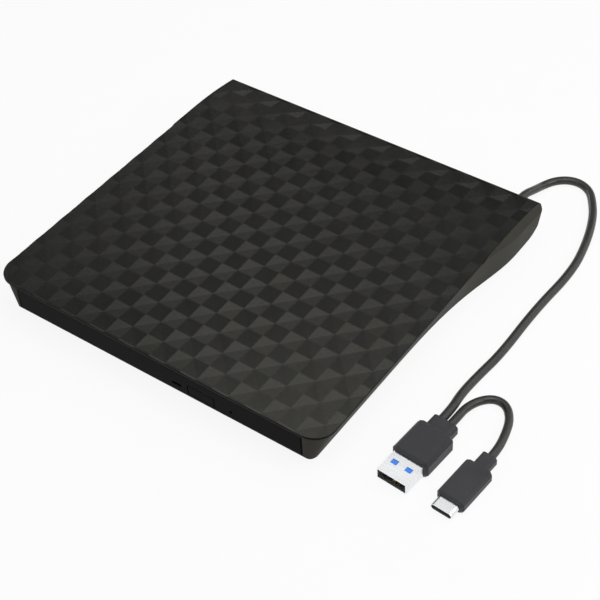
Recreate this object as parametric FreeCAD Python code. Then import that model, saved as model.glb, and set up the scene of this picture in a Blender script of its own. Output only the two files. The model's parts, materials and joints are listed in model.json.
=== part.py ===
import FreeCAD, Part
import math
import os

# An external slim disc burner. Millimetres, +X right seen from the bezel, +Y to the back, +Z up.
# The origin is the bottom centre of the case, on the surface that its rubber feet stand on.

V = FreeCAD.Vector

# Slim drive inside the case
drive_width = 128.0
drive_depth = 126.0
drive_height = 9.5
case_sheet = 0.6
cover_sheet = 0.5
sheet_gap = 0.1
cover_flange = 4.0
disc_radius = 60.0
disc_clearance = 0.5
disc_front_rim = 3.0
disc_gap = 0.7

# Outer case
side_room = 9.5
front_overhang = 1.35
bezel_thickness = 3.15
rear_room = 12.7
shell_wall = 1.8
floor_wall = 1.3
foot_proud = 1.45
hump_drop = 1.95
pad_height = 1.5
plate_thickness = 1.8
plate_edge = 1.0
seam_gap = 0.25
plate_corner_radius = 8.2
plate_rear_radius = 0.5
side_lean_deg = 21.5
rear_nose = 1.5
rear_drop = 2.15
drop_length = 25.0
rear_low_radius = 8.5
rear_corner_radius = 2.0
rear_nose_radius = 1.3
low_corner_sharpen = 3.1
wing_length = 76.0
wing_mid_length = 48.0
wing_mid_flare = 2.5
wing_top_spread = 2.8
wing_low_spread = 0.75
wing_cavity_spread = 1.2
wing_end_margin = 17.0
wing_seam = 0.15
shoulder_ramp_start = 30.0
shoulder_ramp_length = 3.0
shoulder_width = 3.0
shoulder_fall = 5.0
hump_flat_length = 16.0
hump_ramp_length = 66.0
front_edge_radius = 1.2
lip_clearance = 0.25
ledge_width = 1.6
label_width = 62.0
label_depth = 36.0
label_recess = 0.3
label_inset = 12.0

# Feet and case fasteners
foot_radius = 5.0
foot_recess = 0.5
foot_pocket_gap = 0.1
front_foot_x = 52.0
front_foot_inset = 22.5
rear_foot_x = 58.0
rear_foot_inset = 22.5
boss_margin = 1.2
post_side = 6.5
post_inset = 10.0
post_radius = 2.5
boss_radius = 3.1
post_joint_z = 8.0
screw_radius = 1.0
screw_head_radius = 2.0
screw_head_height = 1.2
thread_gap = 0.03
head_gap = 0.15
fixing_screw_reach = 0.7
rib_gap = 0.15
side_rib_places = (-30.0, 20.0)
side_rib_thickness = 2.0
floor_rib_x = 34.0
floor_rib_thickness = 1.6
floor_rib_front = -15.0
stop_rib_inset = 2.0
stop_rib_width = 4.5
stop_rib_thickness = 1.5
foam_inner = 38.0
foam_width = 8.0
foam_front = -36.0
foam_rear = 24.0
stiffener_half = 20.0
stiffener_front = -50.0
stiffener_width = 4.0

# Bezel, button and lamp
bezel_height = 8.7
bezel_lift = 0.3
bezel_gap = 0.4
bezel_top_gap = 0.25
button_width = 11.4
button_height = 4.0
button_x = 21.3
button_z = 7.7
button_gap = 0.25
button_cap = 2.0
button_travel = 0.6
lamp_x = 10.5
lamp_width = 4.0
lamp_height = 1.0
lamp_gap = 0.05
pinhole_x = 34.3
pinhole_radius = 0.6
switch_board_width = 34.0
switch_board_height = 3.6
switch_board_thickness = 0.6
switch_depth = 1.2

# Tray and its rails
tray_bottom_gap = 0.6
tray_wall = 2.6
tray_end_wall = 1.5
deck_thickness = 1.0
tray_rim_gap = 0.9
tray_rear_gap = 1.3
guide_width = 2.9
guide_length = 62.0
guide_height = 5.5
tray_side_gap = 0.3
rail_width = 2.8
rail_height = 2.4
rail_length = 118.0
rail_gap = 0.1
rail_side_gap = 0.2
rail_lift = 2.5

# Pick-up mechanism under the tray deck, drawn along its own axis from the spindle
sled_heading_deg = -131.0
frame_sheet = 1.0
frame_drop = 1.6
frame_inner = 20.0
frame_outer = 66.0
frame_half = 20.0
frame_tip_half = 12.0
frame_chamfer_start = 60.0
slot_inner = 16.5
slot_outer = 64.0
slot_half = 12.6
window_margin = 1.5
window_half = 17.5
shield_thickness = 0.4
shield_overlap = 1.2
shield_gap = 0.1
hub_opening = 15.6
lens_slot_half = 5.6
rod_radius = 1.0
rod_offset = 16.0
rod_drop = 3.0
rod_fit = 0.02
tab_thickness = 1.2
tab_half = 1.7
sled_inner = 5.5
sled_outer = 6.0
sled_half = 12.0
sled_ear_half = 18.0
sled_lift = 0.45
lens_inner = 23.5
lens_outer = 57.0
lens_radius = 2.2
lens_dome = 0.4
holder_half_u = 3.8
holder_half_v = 4.4
holder_gap = 0.5
focus_travel = 0.4
screw_offset = 22.0
lead_radius = 1.0
lead_fit = 0.05
lead_start = 12.0
lead_end = 60.6
motor_length = 10.0
motor_width = 6.0
motor_flat = 0.2
damper_radius = 2.6
damper_bore = 1.1
damper_height = 2.4
damper_groove = 0.6
damper_screw_radius = 1.0
damper_head_radius = 2.0
damper_head = 0.6
damper_inset = 3.5
damper_offset = 3.6
damper_third = 12.0

# Spindle
spindle_flange_radius = 14.5
spindle_flange = 0.5
stator_radius = 11.0
bearing_radius = 2.5
shaft_radius = 0.75
shaft_fit = 0.03
rotor_radius = 11.5
rotor_hole_gap = 1.0
turntable_radius = 14.6
turntable_thickness = 0.35
mat_thickness = 0.2
mat_inner = 9.5
hub_radius = 7.4
hub_height = 1.5
claw_reach = 0.35
claw_width = 2.4
claw_count = 3

# Latch and ejector
latch_post_radius = 1.0
latch_post_height = 4.0
latch_post_side = 2.5
latch_post_inset = 27.0
latch_arm = 9.0
latch_arm_width = 1.8
latch_thickness = 1.4
latch_clear = 0.8
latch_hook_gap = 1.3
pivot_radius = 0.8
pivot_fit = 0.04
solenoid_length = 9.0
solenoid_width = 7.0
plunger_radius = 1.0
plunger_length = 9.0
plunger_x = 5.0
plunger_housing = 3.2
spring_radius = 0.95
spring_wire = 0.3
spring_length = 7.0
spring_turns = 7

# Boards
drive_board_width = 38.0
drive_board_depth = 25.0
drive_board_x = 12.0
drive_board_thickness = 0.8
board_boss = 0.3
drive_chip_places = ((5.0, 6.0, 12.0, 12.0, 1.1), (21.0, 4.0, 6.0, 5.0, 0.9), (21.0, 12.0, 7.0, 5.0, 1.0))
drive_part_count = 4
drive_part_start = 6.0
drive_part_pitch = 3.0
part_length = 1.6
part_width = 0.8
part_height = 0.5
part_inset = 2.0
rear_board_depth = 6.0
rear_board_thickness = 0.5
rear_board_left = 49.0
rear_board_right = 38.0
connector_width = 28.0
connector_x = -33.0
connector_depth = 7.0
connector_height = 3.4
flex_x = 23.0
flex_width = 13.0
flex_thickness = 0.1
flex_loop = 0.42
flex_reach = 80.0
flex_return = 62.0
bridge_left = 48.0
bridge_right = 56.0
bridge_gap = 0.6
bridge_lift = 0.5
bridge_thickness = 1.0
bridge_rear_gap = 1.8
bridge_screw_places = (-15.0, 33.0)
bridge_screw_radius = 0.8
bridge_head_radius = 1.5
bridge_post_radius = 2.2
bridge_chip_places = ((0.0, 7.0, 7.0, 0.9), (10.5, 5.0, 4.0, 1.4), (18.6, 3.2, 2.5, 0.7))
bridge_part_count = 5
bridge_part_start = -12.0
bridge_part_pitch = 1.6
bridge_part_back = 3.0
bridge_part_height = 0.6
bridge_connector_depth = 5.0
bridge_tongue_reach = 3.5
bridge_tongue_inset = 1.8
mating_gap = 0.1
header_width = 7.4
header_depth = 3.4
header_height = 2.8

# Lead, its gland and its two plugs
lead_diameter = 3.3
pigtail_diameter = 3.1
gland_post_gap = 5.2
gland_z = 6.3
gland_flange_radius = 2.6
gland_flange = 1.2
gland_neck_radius = 1.9
gland_fit = 0.05
gland_boot_radius = 2.9
gland_tip_radius = 2.1
gland_length = 5.0
gland_pad_radius = 4.2
inner_lead_diameter = 1.6
inner_lead_turn = 4.9
inner_lead_rise = 0.5
plug_turn_deg = -4.24
a_origin = (95.1, -53.7)
a_width = 14.8
a_top_width = 12.5
a_length = 15.7
a_height = 7.4
a_bevel = 1.6
a_collar_width = 10.0
a_collar_length = 5.2
a_collar_height = 5.2
a_main_offset = -2.4
a_pigtail_offset = 1.3
a_shell_width = 12.0
a_shell_height = 4.5
a_shell_reach = 9.6
a_shell_wall = 0.3
a_shell_root = 3.0
a_window_width = 2.5
a_window_length = 2.0
a_window_setback = 4.7
a_window_spacing = 5.8
a_tongue_setback = 2.4
a_tongue_thickness = 1.9
contact_thickness = 0.12
contact_width = 1.0
contact_pitch = 2.5
contact_count = 4
c_origin = (114.3, -59.6)
c_width = 10.8
c_top_width = 9.4
c_length = 17.6
c_height = 5.0
c_bevel = 1.3
c_collar_width = 5.8
c_collar_length = 5.6
c_collar_height = 4.2
c_shell_width = 8.3
c_shell_height = 2.56
c_shell_reach = 4.4
c_shell_wall = 0.25
c_shell_root = 3.0
c_tongue_setback = 0.5
c_slot_height = 0.8
c_slot_width = 6.6
plug_fit = 0.02
plug_lead_in = 1.0

# Levels, worked out from the sizes above
hump_z = foot_proud
under_z = hump_z + hump_drop
drive_z = under_z + floor_wall
drive_top = drive_z + drive_height
plate_under = drive_top + pad_height
top_z = plate_under + plate_thickness
case_floor = drive_z + case_sheet
cover_under = drive_top - cover_sheet
bezel_z = drive_z + bezel_lift
bezel_top = bezel_z + bezel_height
tray_bottom = case_floor + tray_bottom_gap
tray_top = cover_under - tray_rim_gap
rail_z = case_floor + rail_lift

# Places along the depth
half_width = drive_width / 2 + side_room
overall_depth = front_overhang + bezel_thickness + drive_depth + rear_room + shell_wall
front_y = -overall_depth / 2
rear_y = overall_depth / 2
face_y = front_y + front_overhang
drive_front = face_y + bezel_thickness
drive_rear = drive_front + drive_depth
plate_rear = rear_y - rear_nose
drop_start = plate_rear - drop_length
drop_radius = (drop_length ** 2 + rear_drop ** 2) / (2 * rear_drop)
rear_inner = rear_y - shell_wall
post_x = half_width - post_side
post_y = rear_y - post_inset
gland_x = post_x - gland_post_gap
lean = math.tan(math.radians(side_lean_deg))
leaned_wall = shell_wall / math.cos(math.radians(side_lean_deg))

# Places across the drive
drive_half = drive_width / 2
case_half = drive_half - cover_sheet - sheet_gap
case_inner = case_half - case_sheet
tray_half = case_inner - guide_width - tray_side_gap
rail_inner = tray_half + tray_side_gap + guide_width / 2 - rail_width / 2 - guide_width / 2
recess_radius = disc_radius + disc_clearance
disc_y = drive_front + disc_front_rim + recess_radius
tray_rear = drive_rear - cover_sheet - sheet_gap - case_sheet - tray_rear_gap

# Levels of the pick-up mechanism
disc_under = tray_top - 1.1
deck_top = disc_under - disc_gap
deck_under = deck_top - deck_thickness
frame_top = deck_under - frame_drop + frame_sheet
frame_z = frame_top - frame_sheet
rod_z = frame_z - rod_drop / 2
sled_bottom = case_floor + sled_lift


def box(x0, x1, y0, y1, z0, z1):
    return Part.makeBox(x1 - x0, y1 - y0, z1 - z0, V(x0, y0, z0))


def rod_along(axis, radius, start, length):
    return Part.makeCylinder(radius, length, V(*start), V(*axis))


def upright(radius, x, y, z0, z1):
    return rod_along((0, 0, 1), radius, (x, y, z0), z1 - z0)


def fused(shapes):
    first = shapes[0]
    if len(shapes) == 1:
        return first
    return first.multiFuse(shapes[1:]).removeSplitter()


def cut_all(shape, cutters):
    return shape.cut(Part.makeCompound(cutters))


def mirrored(shape):
    return shape.mirror(V(0, 0, 0), V(1, 0, 0))


def both_sides(shape):
    return [shape, mirrored(shape)]


def polygon_prism(points, z0, z1):
    corners = [V(x, y, z0) for x, y in points]
    face = Part.Face(Part.makePolygon(corners + corners[:1]))
    return face.extrude(V(0, 0, z1 - z0))


def upright_edges(shape, low, high):
    chosen = []
    for edge in shape.Edges:
        a, b = edge.Vertexes[0].Point, edge.Vertexes[-1].Point
        straight = abs(a.x - b.x) < 1e-6 and abs(a.y - b.y) < 1e-6
        if straight and min(a.z, b.z) >= low - 1e-6 and max(a.z, b.z) <= high + 1e-6:
            chosen.append(edge)
    return chosen


def rounded_block(x0, x1, y0, y1, z0, z1, radius):
    block = box(x0, x1, y0, y1, z0, z1)
    return block.makeFillet(radius, upright_edges(block, z0, z1))


def save(name, shape):
    pieces = shape if isinstance(shape, list) else [shape]
    solids = [solid for piece in pieces for solid in piece.Solids]
    result = solids[0] if len(solids) == 1 else Part.makeCompound(solids)
    result.exportStep("parts/%s.step" % name)
    valid = all(solid.isValid() for solid in solids)
    print("%-18s solids %d volume %9.2f valid %s" % (name, len(solids), result.Volume, valid))


# Outer form of the case

def top_height(y):
    reach = max(0.0, y - drop_start)
    return top_z - (drop_radius - math.sqrt(drop_radius ** 2 - reach ** 2))


def drop_arc(depth, y_end):
    middle = (drop_start + y_end) / 2
    points = [(y, top_height(y) - depth) for y in (drop_start, middle, y_end)]
    return Part.Arc(*[V(0, y, z) for y, z in points]).toShape()


def line(a, b):
    return Part.LineSegment(V(*a), V(*b)).toShape()


def yz_line(a, b):
    return line((0, a[0], a[1]), (0, b[0], b[1]))


def yz_corner(centre, radius, start_deg, end_deg):
    points = []
    for angle in (start_deg, (start_deg + end_deg) / 2, end_deg):
        turn = math.radians(angle)
        points.append(V(0, centre[0] + radius * math.cos(turn), centre[1] + radius * math.sin(turn)))
    return Part.Arc(*points).toShape()


def across(edges):
    face = Part.Face(Part.Wire(Part.__sortEdges__(edges)))
    face.translate(V(-half_width - 5, 0, 0))
    return face.extrude(V(2 * half_width + 10, 0, 0))


def underside_edges(wall, floor):
    front = face_y + wall
    rear = rear_y - wall
    low = hump_z + floor
    under = under_z + floor
    radius = rear_low_radius - wall
    edge_radius = front_edge_radius if wall == 0 else front_edge_radius / 2
    hump_end = rear - radius
    hump_start = hump_end - hump_flat_length
    ramp_start = hump_start - hump_ramp_length
    edges = [
        yz_corner((rear - radius, low + radius), radius, 0, -90),
        yz_line((hump_end, low), (hump_start, low)),
        yz_line((hump_start, low), (ramp_start, under)),
        yz_line((ramp_start, under), (front + edge_radius, under)),
        yz_corner((front + edge_radius, under + edge_radius), edge_radius, -90, -180),
    ]
    return edges, (rear, low + radius), (front, under + edge_radius)


def outer_profile():
    edges, rear_end, front_end = underside_edges(0.0, 0.0)
    fall = math.asin(drop_length / drop_radius)
    nose_y = rear_y - rear_nose_radius * (1 - math.sin(fall))
    nose_z = top_height(plate_rear) - (nose_y - plate_rear) * math.tan(fall)
    nose_centre = (rear_y - rear_nose_radius, nose_z - rear_nose_radius * math.cos(fall))
    edges += [
        yz_line(front_end, (face_y, top_z)),
        yz_line((face_y, top_z), (drop_start, top_z)),
        drop_arc(0.0, plate_rear),
        yz_line((plate_rear, top_height(plate_rear)), (nose_y, nose_z)),
        yz_corner(nose_centre, rear_nose_radius, 90 - math.degrees(fall), 0),
        yz_line((rear_y, nose_centre[1]), rear_end),
    ]
    return across(edges)


def cavity_profile():
    edges, rear_end, front_end = underside_edges(shell_wall, floor_wall)
    ledge_y = plate_rear - ledge_width
    ledge_z = top_height(plate_rear) - plate_edge - seam_gap - shell_wall
    above = top_z + 1
    edges += [
        yz_line(front_end, (face_y + shell_wall, above)),
        yz_line((face_y + shell_wall, above), (ledge_y, above)),
        yz_line((ledge_y, above), (ledge_y, ledge_z)),
        yz_line((ledge_y, ledge_z), (rear_inner, ledge_z)),
        yz_line((rear_inner, ledge_z), rear_end),
    ]
    return across(edges)


def plan_wire(z, wall):
    inset = leaned_wall if wall else 0.0
    share = (top_z - z) / (top_z - under_z)
    front_half = half_width - (top_z - z) * lean - inset
    top_spread = wing_cavity_spread if wall else wing_top_spread
    rear_half = half_width + top_spread + (wing_low_spread - top_spread) * share - wall
    front = face_y + wall
    rear = rear_y - wall
    front_radius = plate_corner_radius - front_overhang - low_corner_sharpen * share - wall
    rear_radius = rear_corner_radius - wall
    wing_end = rear_y - wing_end_margin
    wing_start = wing_end - wing_length
    wing_middle = (front_half + wing_mid_flare * share, wing_start + wing_mid_length)
    flare_curve = Part.BSplineCurve()
    flare_curve.interpolate(
        Points=[V(front_half, wing_start, z), V(*wing_middle, z), V(rear_half, wing_end, z)],
        InitialTangent=V(0, wing_length, 0), FinalTangent=V(0, wing_length, 0), Scale=False,
        Parameters=[0.0, wing_mid_length / wing_length, 1.0])
    flare = flare_curve.toShape()
    bend = math.sqrt(0.5)
    front_centre = (front_half - front_radius, front + front_radius)
    rear_centre = (rear_half - rear_radius, rear - rear_radius)
    front_arc = Part.Arc(
        V(front_centre[0], front, z),
        V(front_centre[0] + front_radius * bend, front_centre[1] - front_radius * bend, z),
        V(front_half, front_centre[1], z)).toShape()
    rear_arc = Part.Arc(
        V(rear_half, rear_centre[1], z),
        V(rear_centre[0] + rear_radius * bend, rear_centre[1] + rear_radius * bend, z),
        V(rear_centre[0], rear, z)).toShape()
    right = [
        front_arc,
        line((front_half, front_centre[1], z), (front_half, wing_start, z)),
        flare,
        line((rear_half, wing_end, z), (rear_half, rear_centre[1], z)),
        rear_arc,
    ]
    left = [mirrored(edge) for edge in right]
    front_line = line((-front_centre[0], front, z), (front_centre[0], front, z))
    rear_line = line((rear_centre[0], rear, z), (-rear_centre[0], rear, z))
    return Part.Wire([front_line] + right + [rear_line] + left[::-1])


def leaning_block(wall):
    low = hump_z - 0.2
    high = top_z + (1 if wall else 0)
    return Part.makeLoft([plan_wire(low, wall), plan_wire(high, wall)], True, True)


def plate_outline(inset, z0, z1, radius):
    half = half_width - inset
    front = front_y if inset == 0 else face_y + shell_wall + lip_clearance
    rear = plate_rear if inset == 0 else plate_rear - ledge_width - lip_clearance
    block = box(-half, half, front, rear, z0, z1)
    edges = upright_edges(block, z0, z1)
    front_edges = [edge for edge in edges if edge.Vertexes[0].Point.y < 0]
    block = block.makeFillet(radius, front_edges)
    rear_edges = [edge for edge in upright_edges(block, z0, z1) if edge.Vertexes[0].Point.y > rear - 0.01]
    return block.makeFillet(plate_rear_radius, rear_edges)


def curved_band(upper, lower, y0, y1):
    edges = [
        yz_line((y0, top_z - upper), (drop_start, top_z - upper)),
        drop_arc(upper, y1),
        yz_line((y1, top_height(y1) - upper), (y1, top_height(y1) - lower)),
        drop_arc(lower, y1),
        yz_line((drop_start, top_z - lower), (y0, top_z - lower)),
        yz_line((y0, top_z - lower), (y0, top_z - upper)),
    ]
    return across(edges)


def top_cover():
    low = top_z - rear_drop - plate_thickness - 1
    plate = plate_outline(0.0, low, top_z + 1, plate_corner_radius)
    plate = plate.common(curved_band(0.0, plate_edge, front_y, plate_rear))
    lip_inset = leaned_wall + lip_clearance + (top_z - plate_under) * lean
    lip = plate_outline(lip_inset, low, top_z + 1, plate_corner_radius - front_overhang - shell_wall)
    lip = lip.common(curved_band(plate_edge / 2, plate_thickness, front_y, plate_rear))
    post_top = top_height(post_y) - plate_edge / 2
    posts = both_sides(upright(post_radius, post_x, post_y, post_joint_z, post_top))
    tab_z = drive_top - 3.0
    tab_outer = half_width - (top_z - tab_z) * lean - leaned_wall - 0.3
    tabs = []
    for tab_y in (-40.0, 0.0):
        tab = box(tab_outer - 1.2, tab_outer, tab_y - 4, tab_y + 4, tab_z, plate_under + 0.5)
        tabs += both_sides(tab)
    cover = fused([plate, lip] + posts + tabs)
    pilots = both_sides(upright(screw_radius + thread_gap, post_x, post_y,
                                post_joint_z - 1, post_joint_z + 5))
    return cut_all(cover, pilots)


def foot_places():
    front = [(side * front_foot_x, front_y + front_foot_inset) for side in (-1, 1)]
    rear = [(side * rear_foot_x, rear_y - rear_foot_inset) for side in (-1, 1)]
    return front, rear


def shell_ribs():
    rear_floor = hump_z + floor_wall / 2
    ribs = []
    for rib_y in side_rib_places:
        ribs += both_sides(box(drive_half + rib_gap, half_width, rib_y, rib_y + side_rib_thickness,
                               rear_floor, drive_z + 4))
    ribs += both_sides(box(floor_rib_x, floor_rib_x + floor_rib_thickness, floor_rib_front,
                           drive_rear - 2, rear_floor, drive_z))
    stop_x = drive_half - stop_rib_inset
    stop_y = drive_rear + rib_gap
    ribs += both_sides(box(stop_x - stop_rib_width, stop_x, stop_y, stop_y + stop_rib_thickness,
                           rear_floor, drive_z + 4))
    board_z = drive_z + bridge_lift
    for x in bridge_screw_places:
        ribs.append(upright(bridge_post_radius, x, bridge_middle(), rear_floor, board_z))
    ribs += both_sides(upright(boss_radius, post_x, post_y, hump_z, post_joint_z))
    return Part.makeCompound(ribs)


def bridge_middle():
    front = drive_rear + bridge_gap
    return (front + rear_inner - bridge_rear_gap) / 2


def plate_space():
    """Room for the plate: right across the walls in front, only between the wings behind."""
    low = top_z - plate_edge - seam_gap
    high = top_z + 2
    ramp = (high - low) / (top_z - low) * shoulder_ramp_length
    corners = [(front_y - 1, low), (shoulder_ramp_start, low), (shoulder_ramp_start + ramp, high),
               (front_y - 1, high)]
    front = across([yz_line(a, b) for a, b in zip(corners, corners[1:] + corners[:1])])
    band = curved_band(-2.0, plate_edge + seam_gap, front_y - 1, plate_rear + seam_gap)
    side = half_width + wing_seam
    between = box(-side, side, front_y - 2, rear_y, low - rear_drop - 1, high + 1)
    reach = side + 3 * wing_top_spread
    across_walls = box(-reach, reach, front_y - 2, rear_y, low - 1, high + 1)
    return band.common(between).fuse(front.common(across_walls))


def wing_shoulder():
    """What is taken off above the steep shoulder that falls from the plate's edge to the wing."""
    crease = half_width + wing_seam
    edge = crease + shoulder_width
    low = top_z - shoulder_fall
    corners = [(crease, top_z), (edge, low), (edge + 5, low), (edge + 5, top_z + 5), (crease, top_z + 5)]
    points = [V(x, drop_start, z) for x, z in corners]
    face = Part.Face(Part.makePolygon(points + points[:1]))
    level = face.extrude(V(0, shoulder_ramp_start - 4 - drop_start, 0))
    turn = math.degrees(math.asin((rear_y + 2 - drop_start) / drop_radius))
    falling = face.revolve(V(0, drop_start, top_z - drop_radius), V(1, 0, 0), -turn)
    return both_sides(level.fuse(falling))


def bottom_shell():
    outer = leaning_block(0.0).common(outer_profile())
    cavity = leaning_block(shell_wall).common(cavity_profile())
    ribs = [rib.common(outer) for rib in shell_ribs().Solids]
    feet_front, feet_rear = foot_places()
    boss_depth = foot_recess + foot_proud
    bosses = [upright(foot_radius + boss_margin, x, y, foot_proud, under_z + 0.2) for x, y in feet_front]
    gland_pad = rod_along((0, 1, 0), gland_pad_radius, (gland_x, rear_inner - 4, gland_z), shell_wall + 4)
    shell = cut_all(outer.cut(cavity), [plate_space()] + wing_shoulder())
    shell = fused([shell] + ribs + bosses + [gland_pad])
    cutters = []
    opening = drive_half + bezel_gap
    cutters.append(box(-opening, opening, face_y - 1, drive_front + 0.3,
                       bezel_z - bezel_top_gap, bezel_top + bezel_top_gap))
    for x, y in feet_front + feet_rear:
        cutters.append(upright(foot_radius + foot_pocket_gap, x, y, 0, boss_depth))
    for x, y in feet_front:
        cutters.append(upright(screw_head_radius + head_gap, x, y, 0, boss_depth + screw_head_height + 0.1))
        cutters.append(upright(screw_radius + head_gap, x, y, 0, drive_z + 1))
    for side in (-1, 1):
        cutters.append(upright(screw_head_radius + head_gap, side * post_x, post_y, 0, case_screw_seat()))
        cutters.append(upright(screw_radius + head_gap, side * post_x, post_y, 0, post_joint_z + 1))
    for x in bridge_screw_places:
        cutters.append(upright(bridge_screw_radius + thread_gap, x, bridge_middle(),
                               drive_z - 1.2, drive_z + 2))
    cutters.append(rod_along((0, 1, 0), gland_neck_radius + gland_fit, (gland_x, rear_inner - 5, gland_z),
                             shell_wall + 6))
    cutters.append(rod_along((0, 1, 0), gland_flange_radius + gland_fit,
                             (gland_x, rear_inner - 5, gland_z), 5))
    label_y = face_y + label_inset
    cutters.append(box(-label_width / 2, label_width / 2, label_y, label_y + label_depth,
                       0, under_z + label_recess))
    return cut_all(shell, cutters)


def case_screw_seat():
    return hump_z + screw_head_height + 1.6


def rubber_feet():
    feet = []
    for places in foot_places():
        for x, y in places:
            foot = upright(foot_radius, x, y, 0, foot_proud + foot_recess)
            feet.append(foot.makeFillet(0.4, [foot.Edges[2]]))
    return feet


def pan_screw(x, y, seat, tip, shank, head, height):
    return fused([upright(head, x, y, seat - height, seat), upright(shank, x, y, seat, tip)])


def case_screws():
    seat = case_screw_seat()
    screw = pan_screw(post_x, post_y, seat, post_joint_z + 4, screw_radius, screw_head_radius,
                      screw_head_height)
    return both_sides(screw)


def drive_screws():
    feet_front, feet_rear = foot_places()
    seat = foot_recess + foot_proud + screw_head_height + 0.1
    tip = drive_z + fixing_screw_reach
    return [pan_screw(x, y, seat, tip, screw_radius, screw_head_radius, screw_head_height)
            for x, y in feet_front]


def foam_pads():
    return both_sides(box(foam_inner, foam_inner + foam_width, foam_front, foam_rear, drive_top, plate_under))


# Case of the slim drive

def drive_lower_case():
    rear = drive_rear - cover_sheet - sheet_gap
    outer = box(-case_half, case_half, drive_front, rear, drive_z, cover_under)
    inner = box(-case_inner, case_inner, drive_front - 1, rear - case_sheet, case_floor, cover_under + 1)
    pan = outer.cut(inner)
    stiffener = box(-stiffener_half, stiffener_half, stiffener_front, stiffener_front + stiffener_width,
                    drive_z + 0.3, case_floor)
    cutters = [stiffener.translated(V(0, 0, -0.3))]
    feet_front, feet_rear = foot_places()
    for x, y in feet_front:
        cutters.append(upright(screw_radius + thread_gap, x, y, drive_z - 1, case_floor + 1))
    left = connector_x - connector_width / 2 - 0.2
    right = connector_x + connector_width / 2 + 0.2
    cutters.append(box(left, right, rear - case_sheet - 0.5, rear + 1, case_floor, connector_top() + 0.2))
    tabs = []
    for x, y in cover_screw_places():
        side = 1 if x > 0 else -1
        inner_x, outer_x = sorted((x - side * 2.0, side * (case_inner + case_sheet / 2)))
        tab = box(inner_x, outer_x, y - 2.5, y + 2.5, cover_under - 0.5, cover_under)
        tabs.append(tab.cut(upright(0.7 + thread_gap, x, y, cover_under - 1, cover_under + 1)))
    return fused([cut_all(pan, cutters)] + tabs)


def cover_screw_places():
    side = case_inner - 1.6
    return [(x, y) for x in (-side, side) for y in (drive_front + 6.0, drive_rear - 8.0)]


def drive_upper_case():
    plate = box(-drive_half, drive_half, drive_front, drive_rear, cover_under, drive_top)
    inner_half = drive_half - cover_sheet
    flange_low = drive_top - cover_flange
    skirt = box(-drive_half, drive_half, drive_front + 4, drive_rear, flange_low, cover_under)
    hollow = box(-inner_half, inner_half, drive_front, drive_rear - cover_sheet,
                 flange_low - 1, cover_under)
    holes = [upright(0.7 + 0.15, x, y, cover_under - 1, drive_top + 1) for x, y in cover_screw_places()]
    sinks = [upright(1.6, x, y, drive_top - 0.3, drive_top + 1) for x, y in cover_screw_places()]
    return cut_all(fused([plate, skirt.cut(hollow)]), holes + sinks)


def cover_screws():
    screws = []
    for x, y in cover_screw_places():
        head = upright(1.5, x, y, drive_top - 0.3, drive_top)
        shank = upright(0.7, x, y, cover_under - 0.6, drive_top - 0.3)
        screws.append(fused([head, shank]))
    return screws


def right_guide():
    x0 = tray_half + tray_side_gap
    y0 = drive_front + 0.5
    block = box(x0, case_inner, y0, y0 + guide_length, case_floor, case_floor + guide_height)
    groove = box(x0 - 1, rail_inner + rail_width + rail_side_gap, y0 - 1, y0 + guide_length + 1,
                 rail_z - rail_gap, rail_z + rail_height + rail_gap)
    return block.cut(groove)


def right_rail():
    y0 = drive_front + 2.0
    rail = box(rail_inner, rail_inner + rail_width, y0, y0 + rail_length, rail_z, rail_z + rail_height)
    return rail.makeChamfer(0.3, upright_edges(rail, rail_z, rail_z + rail_height))


def connector_top():
    return case_floor + rear_board_thickness + connector_height


def rear_board():
    y1 = drive_rear - cover_sheet - sheet_gap - case_sheet - 0.2
    board = box(-rear_board_left, rear_board_right, y1 - rear_board_depth, y1,
                case_floor, case_floor + rear_board_thickness)
    return board


def rear_connector():
    x0 = connector_x - connector_width / 2
    z0 = case_floor + rear_board_thickness
    y0 = drive_rear - connector_depth
    body = box(x0, x0 + connector_width, y0, drive_rear, z0, connector_top())
    slot = box(x0 + 1.5, x0 + connector_width - 1.5, drive_rear - 4, drive_rear + 1, z0 + 1.2, z0 + 2.4)
    return body.cut(slot)


def bridge_connector():
    x0 = connector_x - connector_width / 2
    z0 = case_floor + rear_board_thickness
    y0 = drive_rear + mating_gap
    board_top = drive_z + bridge_lift + bridge_thickness
    body = box(x0, x0 + connector_width, y0, y0 + bridge_connector_depth, board_top, z0 + connector_height)
    tongue = box(x0 + bridge_tongue_inset, x0 + connector_width - bridge_tongue_inset,
                 drive_rear - bridge_tongue_reach, y0 + 1, z0 + 1.4, z0 + 2.2)
    return fused([body, tongue])


def flex_cable():
    y_fixed = drive_rear - cover_sheet - sheet_gap - case_sheet - 0.2 - rear_board_depth
    y_bend = y_fixed - flex_reach
    z0 = case_floor + 0.02
    z1 = z0 + flex_loop - flex_thickness
    radius = flex_loop / 2
    lower = box(flex_x, flex_x + flex_width, y_bend, y_fixed, z0, z0 + flex_thickness)
    upper = box(flex_x, flex_x + flex_width, y_bend, y_bend + flex_return, z1, z1 + flex_thickness)
    bend = rod_along((1, 0, 0), radius, (flex_x, y_bend, z0 + radius), flex_width)
    hollow = rod_along((1, 0, 0), radius - flex_thickness, (flex_x, y_bend, z0 + radius), flex_width)
    half = box(flex_x, flex_x + flex_width, y_bend - 1, y_bend, z0, z0 + flex_loop)
    return fused([lower, upper, bend.cut(hollow).common(half)])


def latch_post_place():
    x = case_inner - guide_width - tray_side_gap - tray_wall - latch_post_side
    return x, drive_front + latch_post_inset


def latch_post():
    x, y = latch_post_place()
    foot = upright(latch_post_radius + 0.6, x, y, case_floor, case_floor + 0.4)
    return fused([foot, upright(latch_post_radius, x, y, case_floor, case_floor + latch_post_height)])


# Tray

def on_deck(shape):
    turned = shape.copy()
    turned.rotate(V(0, 0, 0), V(0, 0, 1), sled_heading_deg)
    turned.translate(V(0, disc_y, 0))
    return turned


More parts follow.
